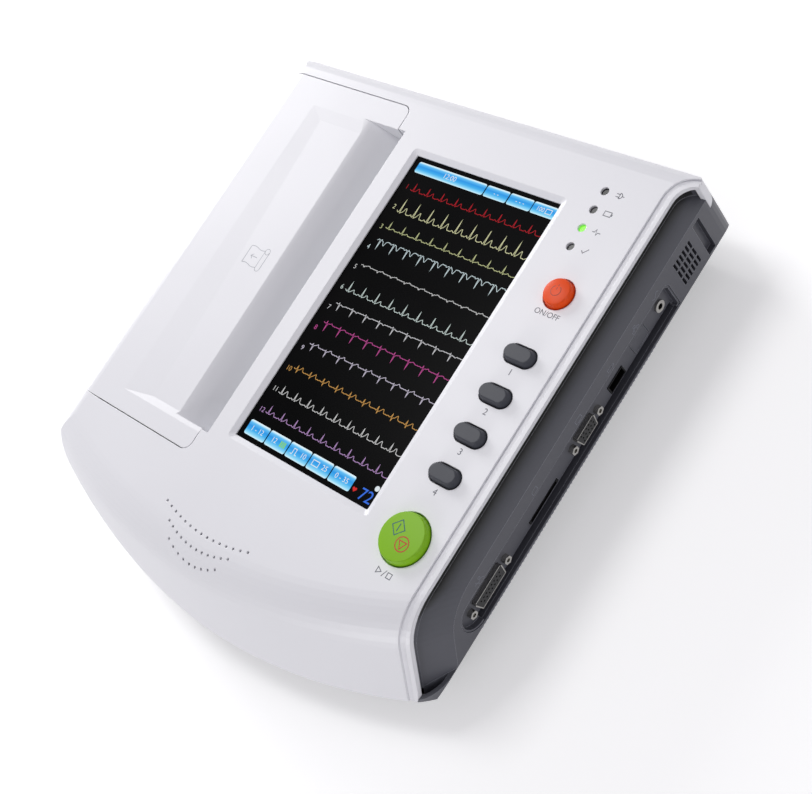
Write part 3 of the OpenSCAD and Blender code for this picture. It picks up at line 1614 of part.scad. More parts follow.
module lcd_ribbon() {
    color("orange") bar_y(screen_y + 120, screen_y + 150)
        flat_cable([[70, ear_z - 1.35], [74, ear_z - 1.35], [78, ear_z - 6], [78, board_z + 10], [74, board_z + 2.35],
                    [66, board_z + 2.35]], 0.3);
}

module key_ribbon() {
    color("orange") bar_y(power_y - 12, power_y + 4)
        flat_cable([[key_x - 4, key_board_z - 0.2], [key_x - 12, key_board_z - 0.2],
                    [key_x - 16, key_board_z - 5], [key_x - 16, board_z + 6], [key_x - 12, board_z + 1.9],
                    [key_x - 9.5, board_z + 1.95]], 0.3);
}

// ---- nodes ----

upper_cover();
lower_housing();
battery_cover();
rubber_feet();
housing_screws();
screen_window();
lcd_module();
lcd_bracket();
inner_screws();
key_board();
key_switches();
status_lenses();
main_board();
ecg_shield();
power_supply();
mains_inlet();
earth_terminal();
battery_pack();
speaker();
connector_panel();
ecg_connector();
vga_connector();
jackscrews();
usb_port();
card_slot();
network_port();
signal_jack();
network_cover();
printer_frame();
printer_motor();
motor_shaft();
motor_pinion();
idler_axle();
idler_gear();
head_pivot_rod();
thermal_head();
head_heatsink();
head_springs();
tear_bar();
hinge_pins();
paper_door();
platen_brackets();
platen_bushings();
platen_roller();
platen_shaft();
platen_gear();
paper_roll();
paper_core();
paper_spindle();
power_button();
start_button();
key_1();
key_2();
key_3();
key_4();
lcd_ribbon();
key_ribbon();
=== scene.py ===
import bpy
import numpy as np
from mathutils import Matrix, Vector


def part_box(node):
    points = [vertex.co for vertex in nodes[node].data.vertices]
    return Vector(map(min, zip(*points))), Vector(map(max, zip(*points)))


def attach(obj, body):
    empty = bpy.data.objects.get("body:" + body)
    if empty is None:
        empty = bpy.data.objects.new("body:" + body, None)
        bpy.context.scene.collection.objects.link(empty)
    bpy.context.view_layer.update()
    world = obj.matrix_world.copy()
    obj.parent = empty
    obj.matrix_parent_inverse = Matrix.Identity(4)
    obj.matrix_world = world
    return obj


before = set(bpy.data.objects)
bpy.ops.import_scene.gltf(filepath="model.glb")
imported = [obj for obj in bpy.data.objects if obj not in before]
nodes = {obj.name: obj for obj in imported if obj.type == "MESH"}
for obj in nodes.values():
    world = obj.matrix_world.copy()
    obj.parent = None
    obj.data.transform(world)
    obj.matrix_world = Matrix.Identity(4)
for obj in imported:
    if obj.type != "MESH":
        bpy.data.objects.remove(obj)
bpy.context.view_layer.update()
scene = bpy.context.scene
MM = 0.001


# ---- Camera
# A long lens stands off the front right corner and looks half down, and it is
# rolled so that the machine lies across the picture from corner to corner.
camera_at = Vector((565.1, -110.8, 672.4)) * MM
camera_right = Vector((0.69406, 0.53340, -0.48350)).normalized()
camera_back = camera_right.cross(Vector((-0.34567, 0.83603, 0.42610))).normalized()
camera_up = camera_back.cross(camera_right)
camera = bpy.data.objects.new("camera", bpy.data.cameras.new("camera"))
scene.collection.objects.link(camera)
camera.data.sensor_width = 36
camera.data.lens = 64.19
camera.data.shift_x = 0.00721
camera.data.shift_y = 0.00818
camera.data.clip_start = 0.05
camera.matrix_world = Matrix.Translation(camera_at) @ Matrix(
    (camera_right, camera_up, camera_back)).transposed().to_4x4()
scene.camera = camera
scene.view_settings.view_transform = "Standard"


# ---- Table and light
# A white sheet lies under the machine. Soft boxes stand at its left and over its
# left edge, weak low ones face its front and its right side, and the room fills
# the shadows.
def srgb(code):
    """Linear colour of a hex code: each channel goes through the sRGB curve."""
    c = np.array([int(code[i:i + 2], 16) / 255 for i in (1, 3, 5)])
    return (*np.where(c <= 0.04045, c / 12.92, ((c + 0.055) / 1.055) ** 2.4), 1.0)


def add_node(tree, kind, inputs=None, **settings):
    """One shader node: its settings, then each input as a value or as a link."""
    node = tree.nodes.new(kind)
    for key, value in settings.items():
        setattr(node, key, value)
    for key, value in (inputs or {}).items():
        if isinstance(value, bpy.types.NodeSocket):
            tree.links.new(value, node.inputs[key])
        else:
            node.inputs[key].default_value = value
    return node


def math_node(tree, operation, *values):
    """Result of one sum: each value is a number or a socket."""
    return add_node(tree, "ShaderNodeMath", dict(enumerate(values)), operation=operation).outputs[0]


def bare_material(name):
    """A material with an empty node tree and its output node."""
    made = bpy.data.materials.new(name)
    made.use_nodes = True
    made.node_tree.nodes.clear()
    return made, made.node_tree, add_node(made.node_tree, "ShaderNodeOutputMaterial")


def add_piece(name, spots, faces, material):
    """A mesh object with one material, from points in mm and the faces between them."""
    mesh = bpy.data.meshes.new(name)
    mesh.from_pydata((np.asarray(spots, float) * MM).tolist(), [], faces)
    mesh.materials.append(material)
    piece = bpy.data.objects.new(name, mesh)
    scene.collection.objects.link(piece)
    return piece


def seen_plainly(tree):
    """One where a camera, glossy or transmission ray arrives, and nought elsewhere."""
    path = add_node(tree, "ShaderNodeLightPath")
    mirrored = math_node(tree, "MAXIMUM", path.outputs["Is Camera Ray"],
                         path.outputs["Is Glossy Ray"])
    return math_node(tree, "MAXIMUM", mirrored, path.outputs["Is Transmission Ray"])


world = bpy.data.worlds.new("studio")
scene.world = world
world.use_nodes = True
world.node_tree.nodes.clear()
room = add_node(world.node_tree, "ShaderNodeBackground",
                {"Color": srgb("#f9f6ff"), "Strength": 0.33})
white = add_node(world.node_tree, "ShaderNodeBackground", {"Color": (1, 1, 1, 1), "Strength": 1.0})
chosen = add_node(world.node_tree, "ShaderNodeMixShader",
                  {0: seen_plainly(world.node_tree), 1: room.outputs[0], 2: white.outputs[0]})
add_node(world.node_tree, "ShaderNodeOutputWorld", {0: chosen.outputs[0]})


def soft_box(name, at, watts, aim=(0, 0, 0), size=0.8):
    """A square area lamp at one point, in metres, turned to face another."""
    lamp = bpy.data.objects.new(name, bpy.data.lights.new(name, "AREA"))
    lamp.data.size = size
    lamp.data.energy = watts
    lamp.location = at
    lamp.rotation_euler = (Vector(aim) - Vector(at)).to_track_quat("-Z", "Y").to_euler()
    scene.collection.objects.link(lamp)


soft_box("left_box", (-1.8, 0.7, 0.7), 23)
soft_box("high_box", (-0.9, 0.4, 1.9), 14.5)
soft_box("front_box", (0.0, -1.8, 0.35), 9.5)
soft_box("right_box", (1.7, -0.1, 0.3), 5.5)

paper_sheet, tree, out = bare_material("white_studio_paper")
sheet_body = add_node(tree, "ShaderNodeBsdfDiffuse", {"Color": srgb("#f2f2f2")})
sheet_glow = add_node(tree, "ShaderNodeEmission", {"Color": (1, 1, 1, 1), "Strength": 0.36})
sheet_none = add_node(tree, "ShaderNodeEmission", {"Strength": 0.0})
sheet_extra = add_node(tree, "ShaderNodeMixShader",
                       {0: seen_plainly(tree), 1: sheet_none.outputs[0], 2: sheet_glow.outputs[0]})
sheet_sum = add_node(tree, "ShaderNodeAddShader",
                     {0: sheet_body.outputs[0], 1: sheet_extra.outputs[0]})
tree.links.new(sheet_sum.outputs[0], out.inputs["Surface"])
table_half = 4000
table_corners = np.array([(-1, -1, 0), (1, -1, 0), (1, 1, 0), (-1, 1, 0)]) * table_half
table = add_piece("table", table_corners, [(0, 1, 2, 3)], paper_sheet)


# ---- Lower housing, feet and covers
# Charcoal ABS injection moulded in a spark-eroded tool, so it has a fine dull
# grain and edges with a small radius. The feet are pressed-in rubber discs.
noise_low, noise_high = 0.3, 0.7         # most of a noise texture's values lie between these
patch_size = 70                          # mm, faint patches of tone and dullness in a moulding
polish_range = 0.04                      # how far the patches' roughness strays to each side
bend_slight, bend_sharp = 0.995, 0.93    # rounded normal times true one: the painted edge highlight starts, is full
# Tones of the painted highlight on edges and of the painted shadow under the cover's lip
edge_highlight_tone, lip_shadow_tone = "#a9abb4", "#0b0b0c"


def object_spot(tree):
    """Place on the object, in metres: nothing else moves a pattern."""
    return add_node(tree, "ShaderNodeTexCoord").outputs["Object"]


def noise(tree, spot, size, detail):
    """Noise with lumps of about one size, in mm."""
    return add_node(tree, "ShaderNodeTexNoise",
                    {"Vector": spot, "Scale": 1 / (size * MM), "Detail": detail}).outputs["Fac"]


def spread(tree, value, low, high):
    """A noise value carried over to the range between two others."""
    return add_node(tree, "ShaderNodeMapRange",
                    {"Value": value, "From Min": noise_low, "From Max": noise_high,
                     "To Min": low, "To Max": high}).outputs[0]


def blend(tree, share, first, second):
    """Colour between two others: 6, 7 and 2 are the colour sockets of a mix node."""
    return add_node(tree, "ShaderNodeMix", {"Factor": share, 6: first, 7: second},
                    data_type="RGBA").outputs[2]


def shade(colour, share):
    """Linear colour of a hex code, darkened to a share of itself."""
    return tuple(v * share for v in srgb(colour)[:3]) + (1.0,)


def moulded(name, colour, rough, grain=0.7, depth=0.035, edge=0.35, drift=0.03, spec=0.5,
            lip_shadow=None, edge_highlight=0.0):
    """Moulded plastic or rubber: grain, its depth and the edge radius in mm.

    drift is half the share of tone that its faint patches lose.
    The box given for the lip's shadow, (left, right, low, high, fade), is the x and z between which
    a surface is painted black as the shadow under the cover's lip, and how softly that painted
    shadow begins.
    The last argument paints a highlight on the edges: how far they are painted lighter,
    found where the rounded normal leaves the true one."""
    made, tree, out = bare_material(name)
    spot = object_spot(tree)
    fine = noise(tree, spot, grain, 2.0)
    broad = noise(tree, spot, patch_size, 3.0)
    worn = spread(tree, broad, rough - polish_range, rough + polish_range)
    tone = blend(tree, broad, shade(colour, 1 - drift * 2), srgb(colour))
    # Painted shadow: a band under the white cover's lip is painted black, fading in from below,
    # where the lip overhangs the housing
    if lip_shadow:
        left, right, low, high, fade = (v * MM for v in lip_shadow)
        axes = add_node(tree, "ShaderNodeSeparateXYZ", {"Vector": spot})
        rise = add_node(tree, "ShaderNodeMapRange",
                        {"Value": axes.outputs["Z"], "From Min": low, "From Max": low + fade},
                        interpolation_type="SMOOTHSTEP")
        inside = rise.outputs[0]
        for axis, at, side in (("X", left, "GREATER_THAN"), ("X", right, "LESS_THAN"),
                               ("Z", high, "LESS_THAN")):
            limit = math_node(tree, side, axes.outputs[axis], at)
            inside = math_node(tree, "MULTIPLY", inside, limit)
        tone = blend(tree, inside, tone, srgb(lip_shadow_tone))
    soft = add_node(tree, "ShaderNodeBevel", {"Radius": edge * MM}, samples=4)
    # Painted highlight: edges are painted lighter where the rounded normal leaves the true one,
    # standing in for the light that a rounded edge catches
    if edge_highlight:
        true = add_node(tree, "ShaderNodeNewGeometry").outputs["Normal"]
        turned = add_node(tree, "ShaderNodeVectorMath", {0: soft.outputs[0], 1: true},
                          operation="DOT_PRODUCT")
        edge_highlight_share = add_node(tree, "ShaderNodeMapRange",
                          {"Value": turned.outputs["Value"], "From Min": bend_slight,
                           "From Max": bend_sharp, "To Max": edge_highlight})
        tone = blend(tree, edge_highlight_share.outputs[0], tone, srgb(edge_highlight_tone))
    bump = add_node(tree, "ShaderNodeBump", {"Strength": 0.35, "Distance": depth * MM,
                                             "Height": fine, "Normal": soft.outputs[0]})
    skin = add_node(tree, "ShaderNodeBsdfPrincipled",
                    {"Base Color": tone, "Roughness": worn, "IOR": 1.53,
                     "Specular IOR Level": spec, "Normal": bump.outputs[0]})
    tree.links.new(skin.outputs[0], out.inputs["Surface"])
    return made


def dress(material, *names):
    """Gives CAD nodes one finish in every material slot that they have."""
    for name in names:
        mesh = nodes[name].data
        mesh.materials.clear()
        mesh.materials.append(material)


# Both charcoal finishes paint a highlight on their edges
charcoal_abs = moulded("moulded_charcoal_abs", "#4a4b53", 0.42, edge=0.5, edge_highlight=0.5)
# The housing's finish also paints the shadow under the white cover's lip black, between the given x
# and z
lip_shadowed_abs = moulded("charcoal_abs_painted_lip_shadow", "#4a4b53", 0.42, edge=0.5, edge_highlight=0.5,
                     lip_shadow=(120, 153.5, 61.8, 70.5, 2.6))
black_rubber = moulded("black_rubber", "#1d1d1f", 0.75, grain=1.2, depth=0.08, edge=0.4)
dress(lip_shadowed_abs, "lower_housing")
dress(charcoal_abs, "battery_cover", "network_cover", "connector_panel")
dress(black_rubber, "rubber_feet")


def grid_faces(rows, columns):
    """Four-sided faces of a grid of points that are numbered along its rows."""
    first = (np.arange(rows - 1)[:, None] * columns + np.arange(columns - 1)).ravel()
    return np.stack([first, first + 1, first + columns + 1, first + columns], 1)


# A strip of clear rubber ribs lies under the right edge, where a hand lifts it:
# each rib is half an ellipse across y, carried down the slanted wall in x and z
rib_pitch, rib_half, rib_proud, rib_sunk = 2.7, 0.85, 0.6, 0.02
rib_low, rib_high = np.array((156.75, 22.5)), np.array((159.27, 26.0))
wall_out = np.array((0.81, -0.59))
rib_y = np.arange(-88, 90, rib_pitch)
across_n, down_n = 9, 5
turn = np.linspace(0, np.pi, across_n)[:, None]
down = np.linspace(0, 1, down_n)[:, None]
foot = rib_low + down * (rib_high - rib_low)
swell = rib_proud * np.sin(turn) * np.sqrt(1 - (2 * down.T - 1) ** 2) - rib_sunk
x_z = foot + swell[:, :, None] * wall_out
rib = np.stack([x_z[..., 0], np.repeat(-rib_half * np.cos(turn), down_n, 1), x_z[..., 1]], -1)
ribs = rib + rib_y[:, None, None, None] * np.array((0, 1, 0))
rib_faces = grid_faces(across_n, down_n)[:, [0, 3, 2, 1]]
all_faces = rib_faces + rib[..., 0].size * np.arange(len(rib_y))[:, None, None]
clear_rubber = moulded("clear_grey_rubber", "#b4b6be", 0.5, grain=1.0, edge=0.1)
side_grip = add_piece("side_grip", ribs.reshape(-1, 3), all_faces.reshape(-1, 4).tolist(),
                      clear_rubber)
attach(side_grip, "base")

# The shoulder's face runs on below its end, down to the belly, inside the front
# right corner: a thin plate in that face, a hair behind the wall's edge
corner_out = np.array((0.784, -0.517, 0.342))
corner_t, corner_back = 0.8, 0.02
corner = np.array(((148, -130.68, 27), (148, -135.15, 19.82), (149.74, -133.36, 18.6),
                   (151.18, -131.87, 17.63), (152.5, -130.45, 16.68), (160, -112.38, 27)))
corner_faces = [(0, 1, 2, 3, 4, 5), (11, 10, 9, 8, 7, 6), (1, 0, 6, 7), (2, 1, 7, 8),
                (3, 2, 8, 9), (4, 3, 9, 10), (5, 4, 10, 11), (0, 5, 11, 6)]
corner_spots = np.vstack((corner - corner_back * corner_out,
                          corner - (corner_back + corner_t) * corner_out))
corner_face = add_piece("corner_face", corner_spots, corner_faces, charcoal_abs)
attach(corner_face, "base")


# ---- Metal parts
# Nickel plate on the sockets and screws, zinc-plated sheet on the printer and
# screen frames, and ground steel on the rods and pins.
def plated(name, colour, rough, streak=0.4, across=(1, 12, 1)):
    """Metal: streak is the spacing of its marks in mm, across how they stretch."""
    made, tree, out = bare_material(name)
    drawn_out = add_node(tree, "ShaderNodeMapping", {"Vector": object_spot(tree),
                                                     "Scale": tuple(1 / a for a in across)})
    lines = noise(tree, drawn_out.outputs[0], streak, 3.0)
    shine = spread(tree, lines, rough - 0.06, rough + 0.08)
    tone = blend(tree, lines, shade(colour, 0.88), srgb(colour))
    bump = add_node(tree, "ShaderNodeBump",
                    {"Strength": 0.2, "Distance": 0.02 * MM, "Height": lines})
    skin = add_node(tree, "ShaderNodeBsdfPrincipled",
                    {"Base Color": tone, "Metallic": 1.0, "Roughness": shine,
                     "Normal": bump.outputs[0]})
    tree.links.new(skin.outputs[0], out.inputs["Surface"])
    return made


bright_nickel = plated("bright_nickel_plate", "#b4b2ae", 0.2, across=(1, 1, 1))
zinc_sheet = plated("zinc_plated_sheet", "#b4b8bc", 0.34, streak=1.5, across=(1, 6, 1))
ground_steel = plated("ground_steel", "#c4c6c8", 0.22, across=(1, 20, 1))
extruded_alloy = plated("extruded_aluminium", "#c9cbcd", 0.38, across=(1, 25, 1))
turned_brass = plated("turned_brass", "#c9a45a", 0.25, across=(1, 1, 1))
black_steel = plated("blackened_steel", "#2b2b2d", 0.42, across=(1, 1, 1))
dress(zinc_sheet, "lcd_bracket", "ecg_shield", "printer_frame", "platen_brackets", "tear_bar",
      "printer_motor")
dress(ground_steel, "housing_screws", "inner_screws", "motor_shaft", "idler_axle", "head_pivot_rod",
      "hinge_pins", "platen_shaft", "head_springs")
dress(extruded_alloy, "head_heatsink")
dress(turned_brass, "platen_bushings", "earth_terminal")
dress(bright_nickel, "jackscrews", "signal_jack")
dress(black_steel, "usb_port", "card_slot", "network_port")


# ---- Shielded connectors
# Each has a drawn steel shell in nickel plate round a black moulded insert, and
# a row of contact holes in the insert's face.
def shielded(name, node, wall):
    """Nickel shell with a black face: a mask from y and z that leaves the shell's wall bright.

    The face is black where |y - middle| is under half the width, less the wall
    and the slant of the ends, and |z - middle| is under half the height less the wall."""
    low, high = (np.array(c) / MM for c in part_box(node))
    mid_y = (low[1] + high[1]) / 2
    made, tree, out = bare_material(name)
    spot = object_spot(tree)
    axes = add_node(tree, "ShaderNodeSeparateXYZ", {"Vector": spot})
    off_y = math_node(tree, "SUBTRACT", axes.outputs["Y"], mid_y * MM)
    off_z = math_node(tree, "SUBTRACT", axes.outputs["Z"], port_mid_z * MM)
    half_y = (shell_w[node] / 2 - wall - shell_h / 2 * shell_slant) * MM
    room_y = math_node(tree, "MULTIPLY_ADD", off_z, shell_slant, half_y)
    in_y = math_node(tree, "LESS_THAN", math_node(tree, "ABSOLUTE", off_y), room_y)
    in_z = math_node(tree, "LESS_THAN", math_node(tree, "ABSOLUTE", off_z),
                     (shell_h / 2 - wall) * MM)
    inside = math_node(tree, "MULTIPLY", in_y, in_z)
    shine = add_node(tree, "ShaderNodeMapRange",
                     {"Value": noise(tree, spot, 0.4, 2.0), "To Min": 0.16, "To Max": 0.30})
    tone = blend(tree, inside, srgb("#a9a7a3"), srgb("#131315"))
    metal = math_node(tree, "SUBTRACT", 1.0, inside)
    rough = math_node(tree, "MULTIPLY_ADD", inside, insert_duller, shine.outputs[0])
    skin = add_node(tree, "ShaderNodeBsdfPrincipled",
                    {"Base Color": tone, "Metallic": metal, "Roughness": rough})
    tree.links.new(skin.outputs[0], out.inputs["Surface"])
    dress(made, node)


# Shell sizes in mm, the lean of a shell's ends, and how much duller the insert is
shell_w = {"vga_connector": 17.0, "ecg_connector": 25.3}
shell_h = 8.6
shell_slant = np.tan(np.radians(10)).item()
insert_duller = 0.3
port_mid_z = sum(c[2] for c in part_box("jackscrews")) / 2 / MM
shielded("nickel_video_shell", "vga_connector", 0.45)
shielded("nickel_chest_shell", "ecg_connector", 0.5)


# ---- Boards, battery and wiring
# Green solder-masked glass epoxy carries the electronics, the battery is a
# block of cells in blue shrink sleeve, and flat cables are amber polyimide.
board_mask = moulded("green_solder_mask", "#1f6b3c", 0.3, grain=3.0, depth=0.03, edge=0.1,
                     drift=0.12)
shrink_sleeve = moulded("blue_shrink_sleeve", "#2c5fb4", 0.3, grain=6.0, depth=0.15, edge=1.0)
amber_film = moulded("amber_polyimide", "#b8742a", 0.25, grain=2.0, depth=0.01, edge=0.05)
black_nylon = moulded("black_glass_nylon", "#17181a", 0.45, grain=0.8, edge=0.2)
display_can = plated("stamped_display_can", "#b9bcc0", 0.3, streak=2.0, across=(1, 1, 1))
dress(board_mask, "main_board", "key_board", "power_supply")
dress(shrink_sleeve, "battery_pack")
dress(amber_film, "lcd_ribbon", "key_ribbon")
dress(black_nylon, "mains_inlet", "speaker", "key_switches")
dress(display_can, "lcd_module")


# ---- Printer and paper
# White acetal gears, a ground rubber platen, an alumina print head and a roll
# of thermal paper wound on a board core.
acetal = moulded("white_acetal", "#e6e4dc", 0.35, grain=1.5, depth=0.01, edge=0.1)
platen_rubber = moulded("ground_platen_rubber", "#26272a", 0.62, grain=0.5, depth=0.03, edge=0.3)
alumina = moulded("glazed_alumina", "#d9cdb8", 0.2, grain=2.0, depth=0.004, edge=0.1)
grey_board = moulded("wound_grey_board", "#9c8468", 0.8, grain=1.0, depth=0.08, edge=0.2, drift=0.1)
dress(acetal, "motor_pinion", "idler_gear", "platen_gear", "paper_spindle")
dress(platen_rubber, "platen_roller")
dress(alumina, "thermal_head")
dress(grey_board, "paper_core")

# The roll's turns show on its ends as faint rings, drawn far wider apart than
# they are so that they can be seen: 0.4 mm to a radian is 2.5 mm to a ring
radian_step = 0.4
wave_radians = 20    # to a metre, at scale 1
thermal_paper, tree, out = bare_material("wound_thermal_paper")
roll_low, roll_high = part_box("paper_roll")
roll_mid = (roll_low + roll_high) / 2
centred = add_node(tree, "ShaderNodeMapping",
                   {"Vector": object_spot(tree), "Location": tuple(-roll_mid)})
turns = add_node(tree, "ShaderNodeTexWave",
                 {"Vector": centred.outputs[0], "Scale": 1 / (radian_step * MM) / wave_radians,
                  "Distortion": 0.6},
                 wave_type="RINGS", rings_direction="Y")
ring_tone = blend(tree, turns.outputs["Fac"], srgb("#dcdcd8"), srgb("#f3f3f0"))
paper_skin = add_node(tree, "ShaderNodeBsdfPrincipled",
                      {"Base Color": ring_tone, "Roughness": 0.55})
tree.links.new(paper_skin.outputs[0], out.inputs["Surface"])
dress(thermal_paper, "paper_roll")


# ---- Upper cover and paper door
# Off-white ABS with a satin grain, moulded as two shells that meet at a thin
# dark seam. It keeps a soft sheen on its edges and falls.
white_abs = moulded("moulded_white_abs", "#eaeaee", 0.38, grain=0.6, depth=0.03, edge=0.6,
                    drift=0.008)
dress(white_abs, "upper_cover", "paper_door")


# ---- Printed marks
# Pad-printed ink, a few hundredths of a millimetre thick. Each mark is made of
# strokes and filled outlines, laid on the face that carries it.
ink_over = 0.03        # mm that a mark stands over its face
cap_share = 0.73       # height of a capital letter, as a share of the font's size
tiny = 1e-12           # keeps a length of nought from dividing
clear_of = 300         # mm out from the origin, where a line towards the machine starts


def stroke(points, width, closed=False):
    """A flat ribbon along a line of points: both edges stand half a width off it."""
    line = np.asarray(points, float)
    ahead = np.roll(line, -1, 0) - line
    behind = line - np.roll(line, 1, 0)
    if not closed:
        ahead[-1] = behind[-1]
        behind[0] = ahead[0]
    ahead /= np.linalg.norm(ahead, axis=1)[:, None] + tiny
    behind /= np.linalg.norm(behind, axis=1)[:, None] + tiny
    along = ahead + behind
    along /= np.linalg.norm(along, axis=1)[:, None] + tiny
    side = np.stack([-along[:, 1], along[:, 0]], 1)
    bend = np.clip(np.abs((ahead * along).sum(1)), 0.5, 1)[:, None]
    edge = side * width / 2 / bend
    count = len(line)
    spots = np.concatenate([line + edge, line - edge])
    here = np.arange(count if closed else count - 1)
    after = (here + 1) % count
    return spots, [np.stack([here, here + count, after + count, after], 1)]


def box_line(x0, y0, x1, y1, width):
    """A stroke round a rectangle."""
    return stroke([(x0, y0), (x1, y0), (x1, y1), (x0, y1)], width, True)


def ring(x, y, r, width, start=0, turn=360):
    """A stroke along a circle, or along part of one, in degrees."""
    whole = turn == 360
    steps = 40
    a = np.radians(start + np.linspace(0, turn, steps + 1)[:steps if whole else steps + 1])
    return stroke(np.stack([x + r * np.cos(a), y + r * np.sin(a)], 1), width, whole)


def filled(points):
    """A filled outline, given counter-clockwise."""
    spots = np.asarray(points, float)
    return spots, [np.arange(len(spots))[None]]


def lettered(text, height, x, y):
    """Plain digits or letters, centred on a point, height tall."""
    curve = bpy.data.curves.new("figures", "FONT")
    curve.body = text
    curve.align_x = "CENTER"
    curve.align_y = "CENTER"
    curve.size = height / cap_share
    shape = bpy.data.objects.new("figures", curve)
    scene.collection.objects.link(shape)
    depsgraph = bpy.context.evaluated_depsgraph_get()
    mesh = bpy.data.meshes.new_from_object(shape.evaluated_get(depsgraph))
    spots = np.zeros(len(mesh.vertices) * 3)
    mesh.vertices.foreach_get("co", spots)
    faces = [np.array(p.vertices)[None] for p in mesh.polygons]
    bpy.data.objects.remove(shape)
    bpy.data.meshes.remove(mesh)
    return spots.reshape(-1, 3)[:, :2] + (x, y), faces


def printed(name, marks, material, body, lift, across=(1, 0, 0), up=(0, 1, 0), base=(0, 0, 0)):
    """A piece of flat marks: their x and y run along two directions from a base point, in mm,
    and lift is the height over it, a number or a function of x and y."""
    faces, start = [], 0
    for spots, blocks in marks:
        for block in blocks:
            faces += (block + start).tolist()
        start += len(spots)
    flat = np.concatenate([spots for spots, _ in marks])
    height = lift(flat[:, 0], flat[:, 1]) if callable(lift) else np.full(len(flat), float(lift))
    across, up = np.array(across, float), np.array(up, float)
    away = np.cross(across, up)
    place = np.array(base) + flat[:, :1] * across + flat[:, 1:] * up + height[:, None] * away
    piece = add_piece(name, place, faces, material)
    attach(piece, body)


def face_under(node, start, way):
    """Where a line from a point in mm first meets a node, in mm, and the face's normal there."""
    hit, spot, normal, _ = nodes[node].ray_cast(Vector(start) * MM, way)
    if not hit:
        raise SystemExit(f"no face of {node} on the line from {tuple(start)}")
    return spot / MM, normal


# ---- Screen
# A colour display behind matt black glass. The lit picture is drawn just over
# the glass: two bars of soft blue fields, twelve heart traces and a pulse rate.
glass_rough, glass_spec = 0.22, 0.015
screen_glass = moulded("matt_display_glass", "#030304", glass_rough, grain=1.5, depth=0.002,
                       edge=0.05, spec=glass_spec)
dress(screen_glass, "screen_window")
glass_hidden = 2.5     # mm of the glass under the cover's edge, on each side
glass_low, glass_high = (np.array(c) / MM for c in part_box("screen_window"))
picture_z = glass_high[2] + ink_over
figures_z = picture_z + 0.04
picture_left, picture_right = glass_low[0] + glass_hidden, glass_high[0] - glass_hidden
picture_front, picture_back = glass_low[1] + glass_hidden, glass_high[1] - glass_hidden


def glowing(tree, out, colour, strength):
    """The finish of the glass, with light coming through it."""
    skin = add_node(tree, "ShaderNodeBsdfPrincipled",
                    {"Base Color": (0.002, 0.002, 0.002, 1), "Roughness": glass_rough,
                     "Specular IOR Level": glass_spec, "Emission Color": colour,
                     "Emission Strength": strength})
    tree.links.new(skin.outputs[0], out.inputs["Surface"])


def lit(name, colour, dot=0.5):
    """Lit picture elements: a fine grid of dots, their size in mm, takes a little light away."""
    made, tree, out = bare_material(name)
    dots = add_node(tree, "ShaderNodeTexChecker",
                    {"Vector": object_spot(tree), "Scale": 1 / (dot * MM)})
    glowing(tree, out, blend(tree, dots.outputs["Fac"], shade(colour, 0.86), srgb(colour)), 0.9)
    return made


# Each trace: rise of its line over its number, height of the main spike, depth
# of the dip after it, height of the late wave, and colour
traces = [(-1.5, 5.2, 0.3, 2.6, "#b3202c"), (-2.4, 9.6, 0.4, 3.8, "#dcdcae"),
          (0.0, 4.9, 0.4, 0.9, "#c3c894"), (6.6, -6.8, -0.3, -3.0, "#cfe0e4"),
          (2.6, -0.9, 0.9, 0.7, "#cdcdcd"), (-1.2, 6.6, 0.4, 2.1, "#cfdeda"),
          (3.9, 0.9, 4.4, -0.6, "#d2d2d6"), (4.8, 1.6, 5.2, 0.8, "#c04f96"),
          (4.0, 0.9, 3.9, 1.4, "#cdc6d8"), (1.3, 2.7, 1.8, 2.3, "#cf9c55"),
          (-1.2, 5.2, 0.3, 3.0, "#d6d6d6"), (-0.6, 5.2, 0.3, 2.1, "#b892c8")]
row_pitch = 14.33
first_row = picture_back - 20.3
beat_pitch = 11.3
first_beat = picture_left + 12.0
late_at = 3.9          # mm from the spike to the top of the late wave
trace_left = picture_left + 9.5
trace_step, trace_w = 0.18, 0.42


def heart_line(x, rise, spike, dip, late):
    """Height of a trace along x: a bell for each wave of the beat, the last one lopsided."""
    phase = (x - first_beat + beat_pitch / 2) % beat_pitch - beat_pitch / 2

    def bell(at, width):
        return np.exp(-((phase - at) / width) ** 2)

    late_width = np.where(phase < late_at, 1.5, 0.75)
    tremor = 0.10 * np.sin(x * 3.1 + spike) + 0.07 * np.sin(x * 5.3 + late)
    return (rise + 0.10 * spike * bell(-2.4, 0.7) + spike * bell(0, 0.26) - dip * bell(0.6, 0.26)
            + late * bell(late_at, late_width) + tremor)


for k, (rise, spike, dip, late, colour) in enumerate(traces):
    along_x = np.arange(trace_left, picture_right - 0.4, trace_step)
    row_y = first_row - k * row_pitch
    line = np.stack([along_x, row_y + heart_line(along_x, rise, spike, dip, late)], 1)
    marks = [stroke(line, trace_w), lettered(str(k + 1), 3.2, picture_left + 6.2, row_y)]
    printed(f"trace_{k + 1}", marks, lit(f"lit_trace_{k + 1}", colour), "base", picture_z)


def field(x0, x1, y0, y1, corner=1.2, across=24, up=10):
    """A bar with round corners: its half height falls along a quarter circle at each end."""
    u, v = np.meshgrid(np.sin(np.linspace(-np.pi / 2, np.pi / 2, across)), np.linspace(-1, 1, up))
    half_x, half_y = (x1 - x0) / 2, (y1 - y0) / 2
    into = np.maximum(np.abs(u) * half_x - (half_x - corner), 0)
    tall = half_y - corner + np.sqrt(np.maximum(corner ** 2 - into ** 2, 0))
    spots = np.stack([(x0 + x1) / 2 + u * half_x, (y0 + y1) / 2 + v * tall], -1).reshape(-1, 2)
    return spots, [grid_faces(up, across)]


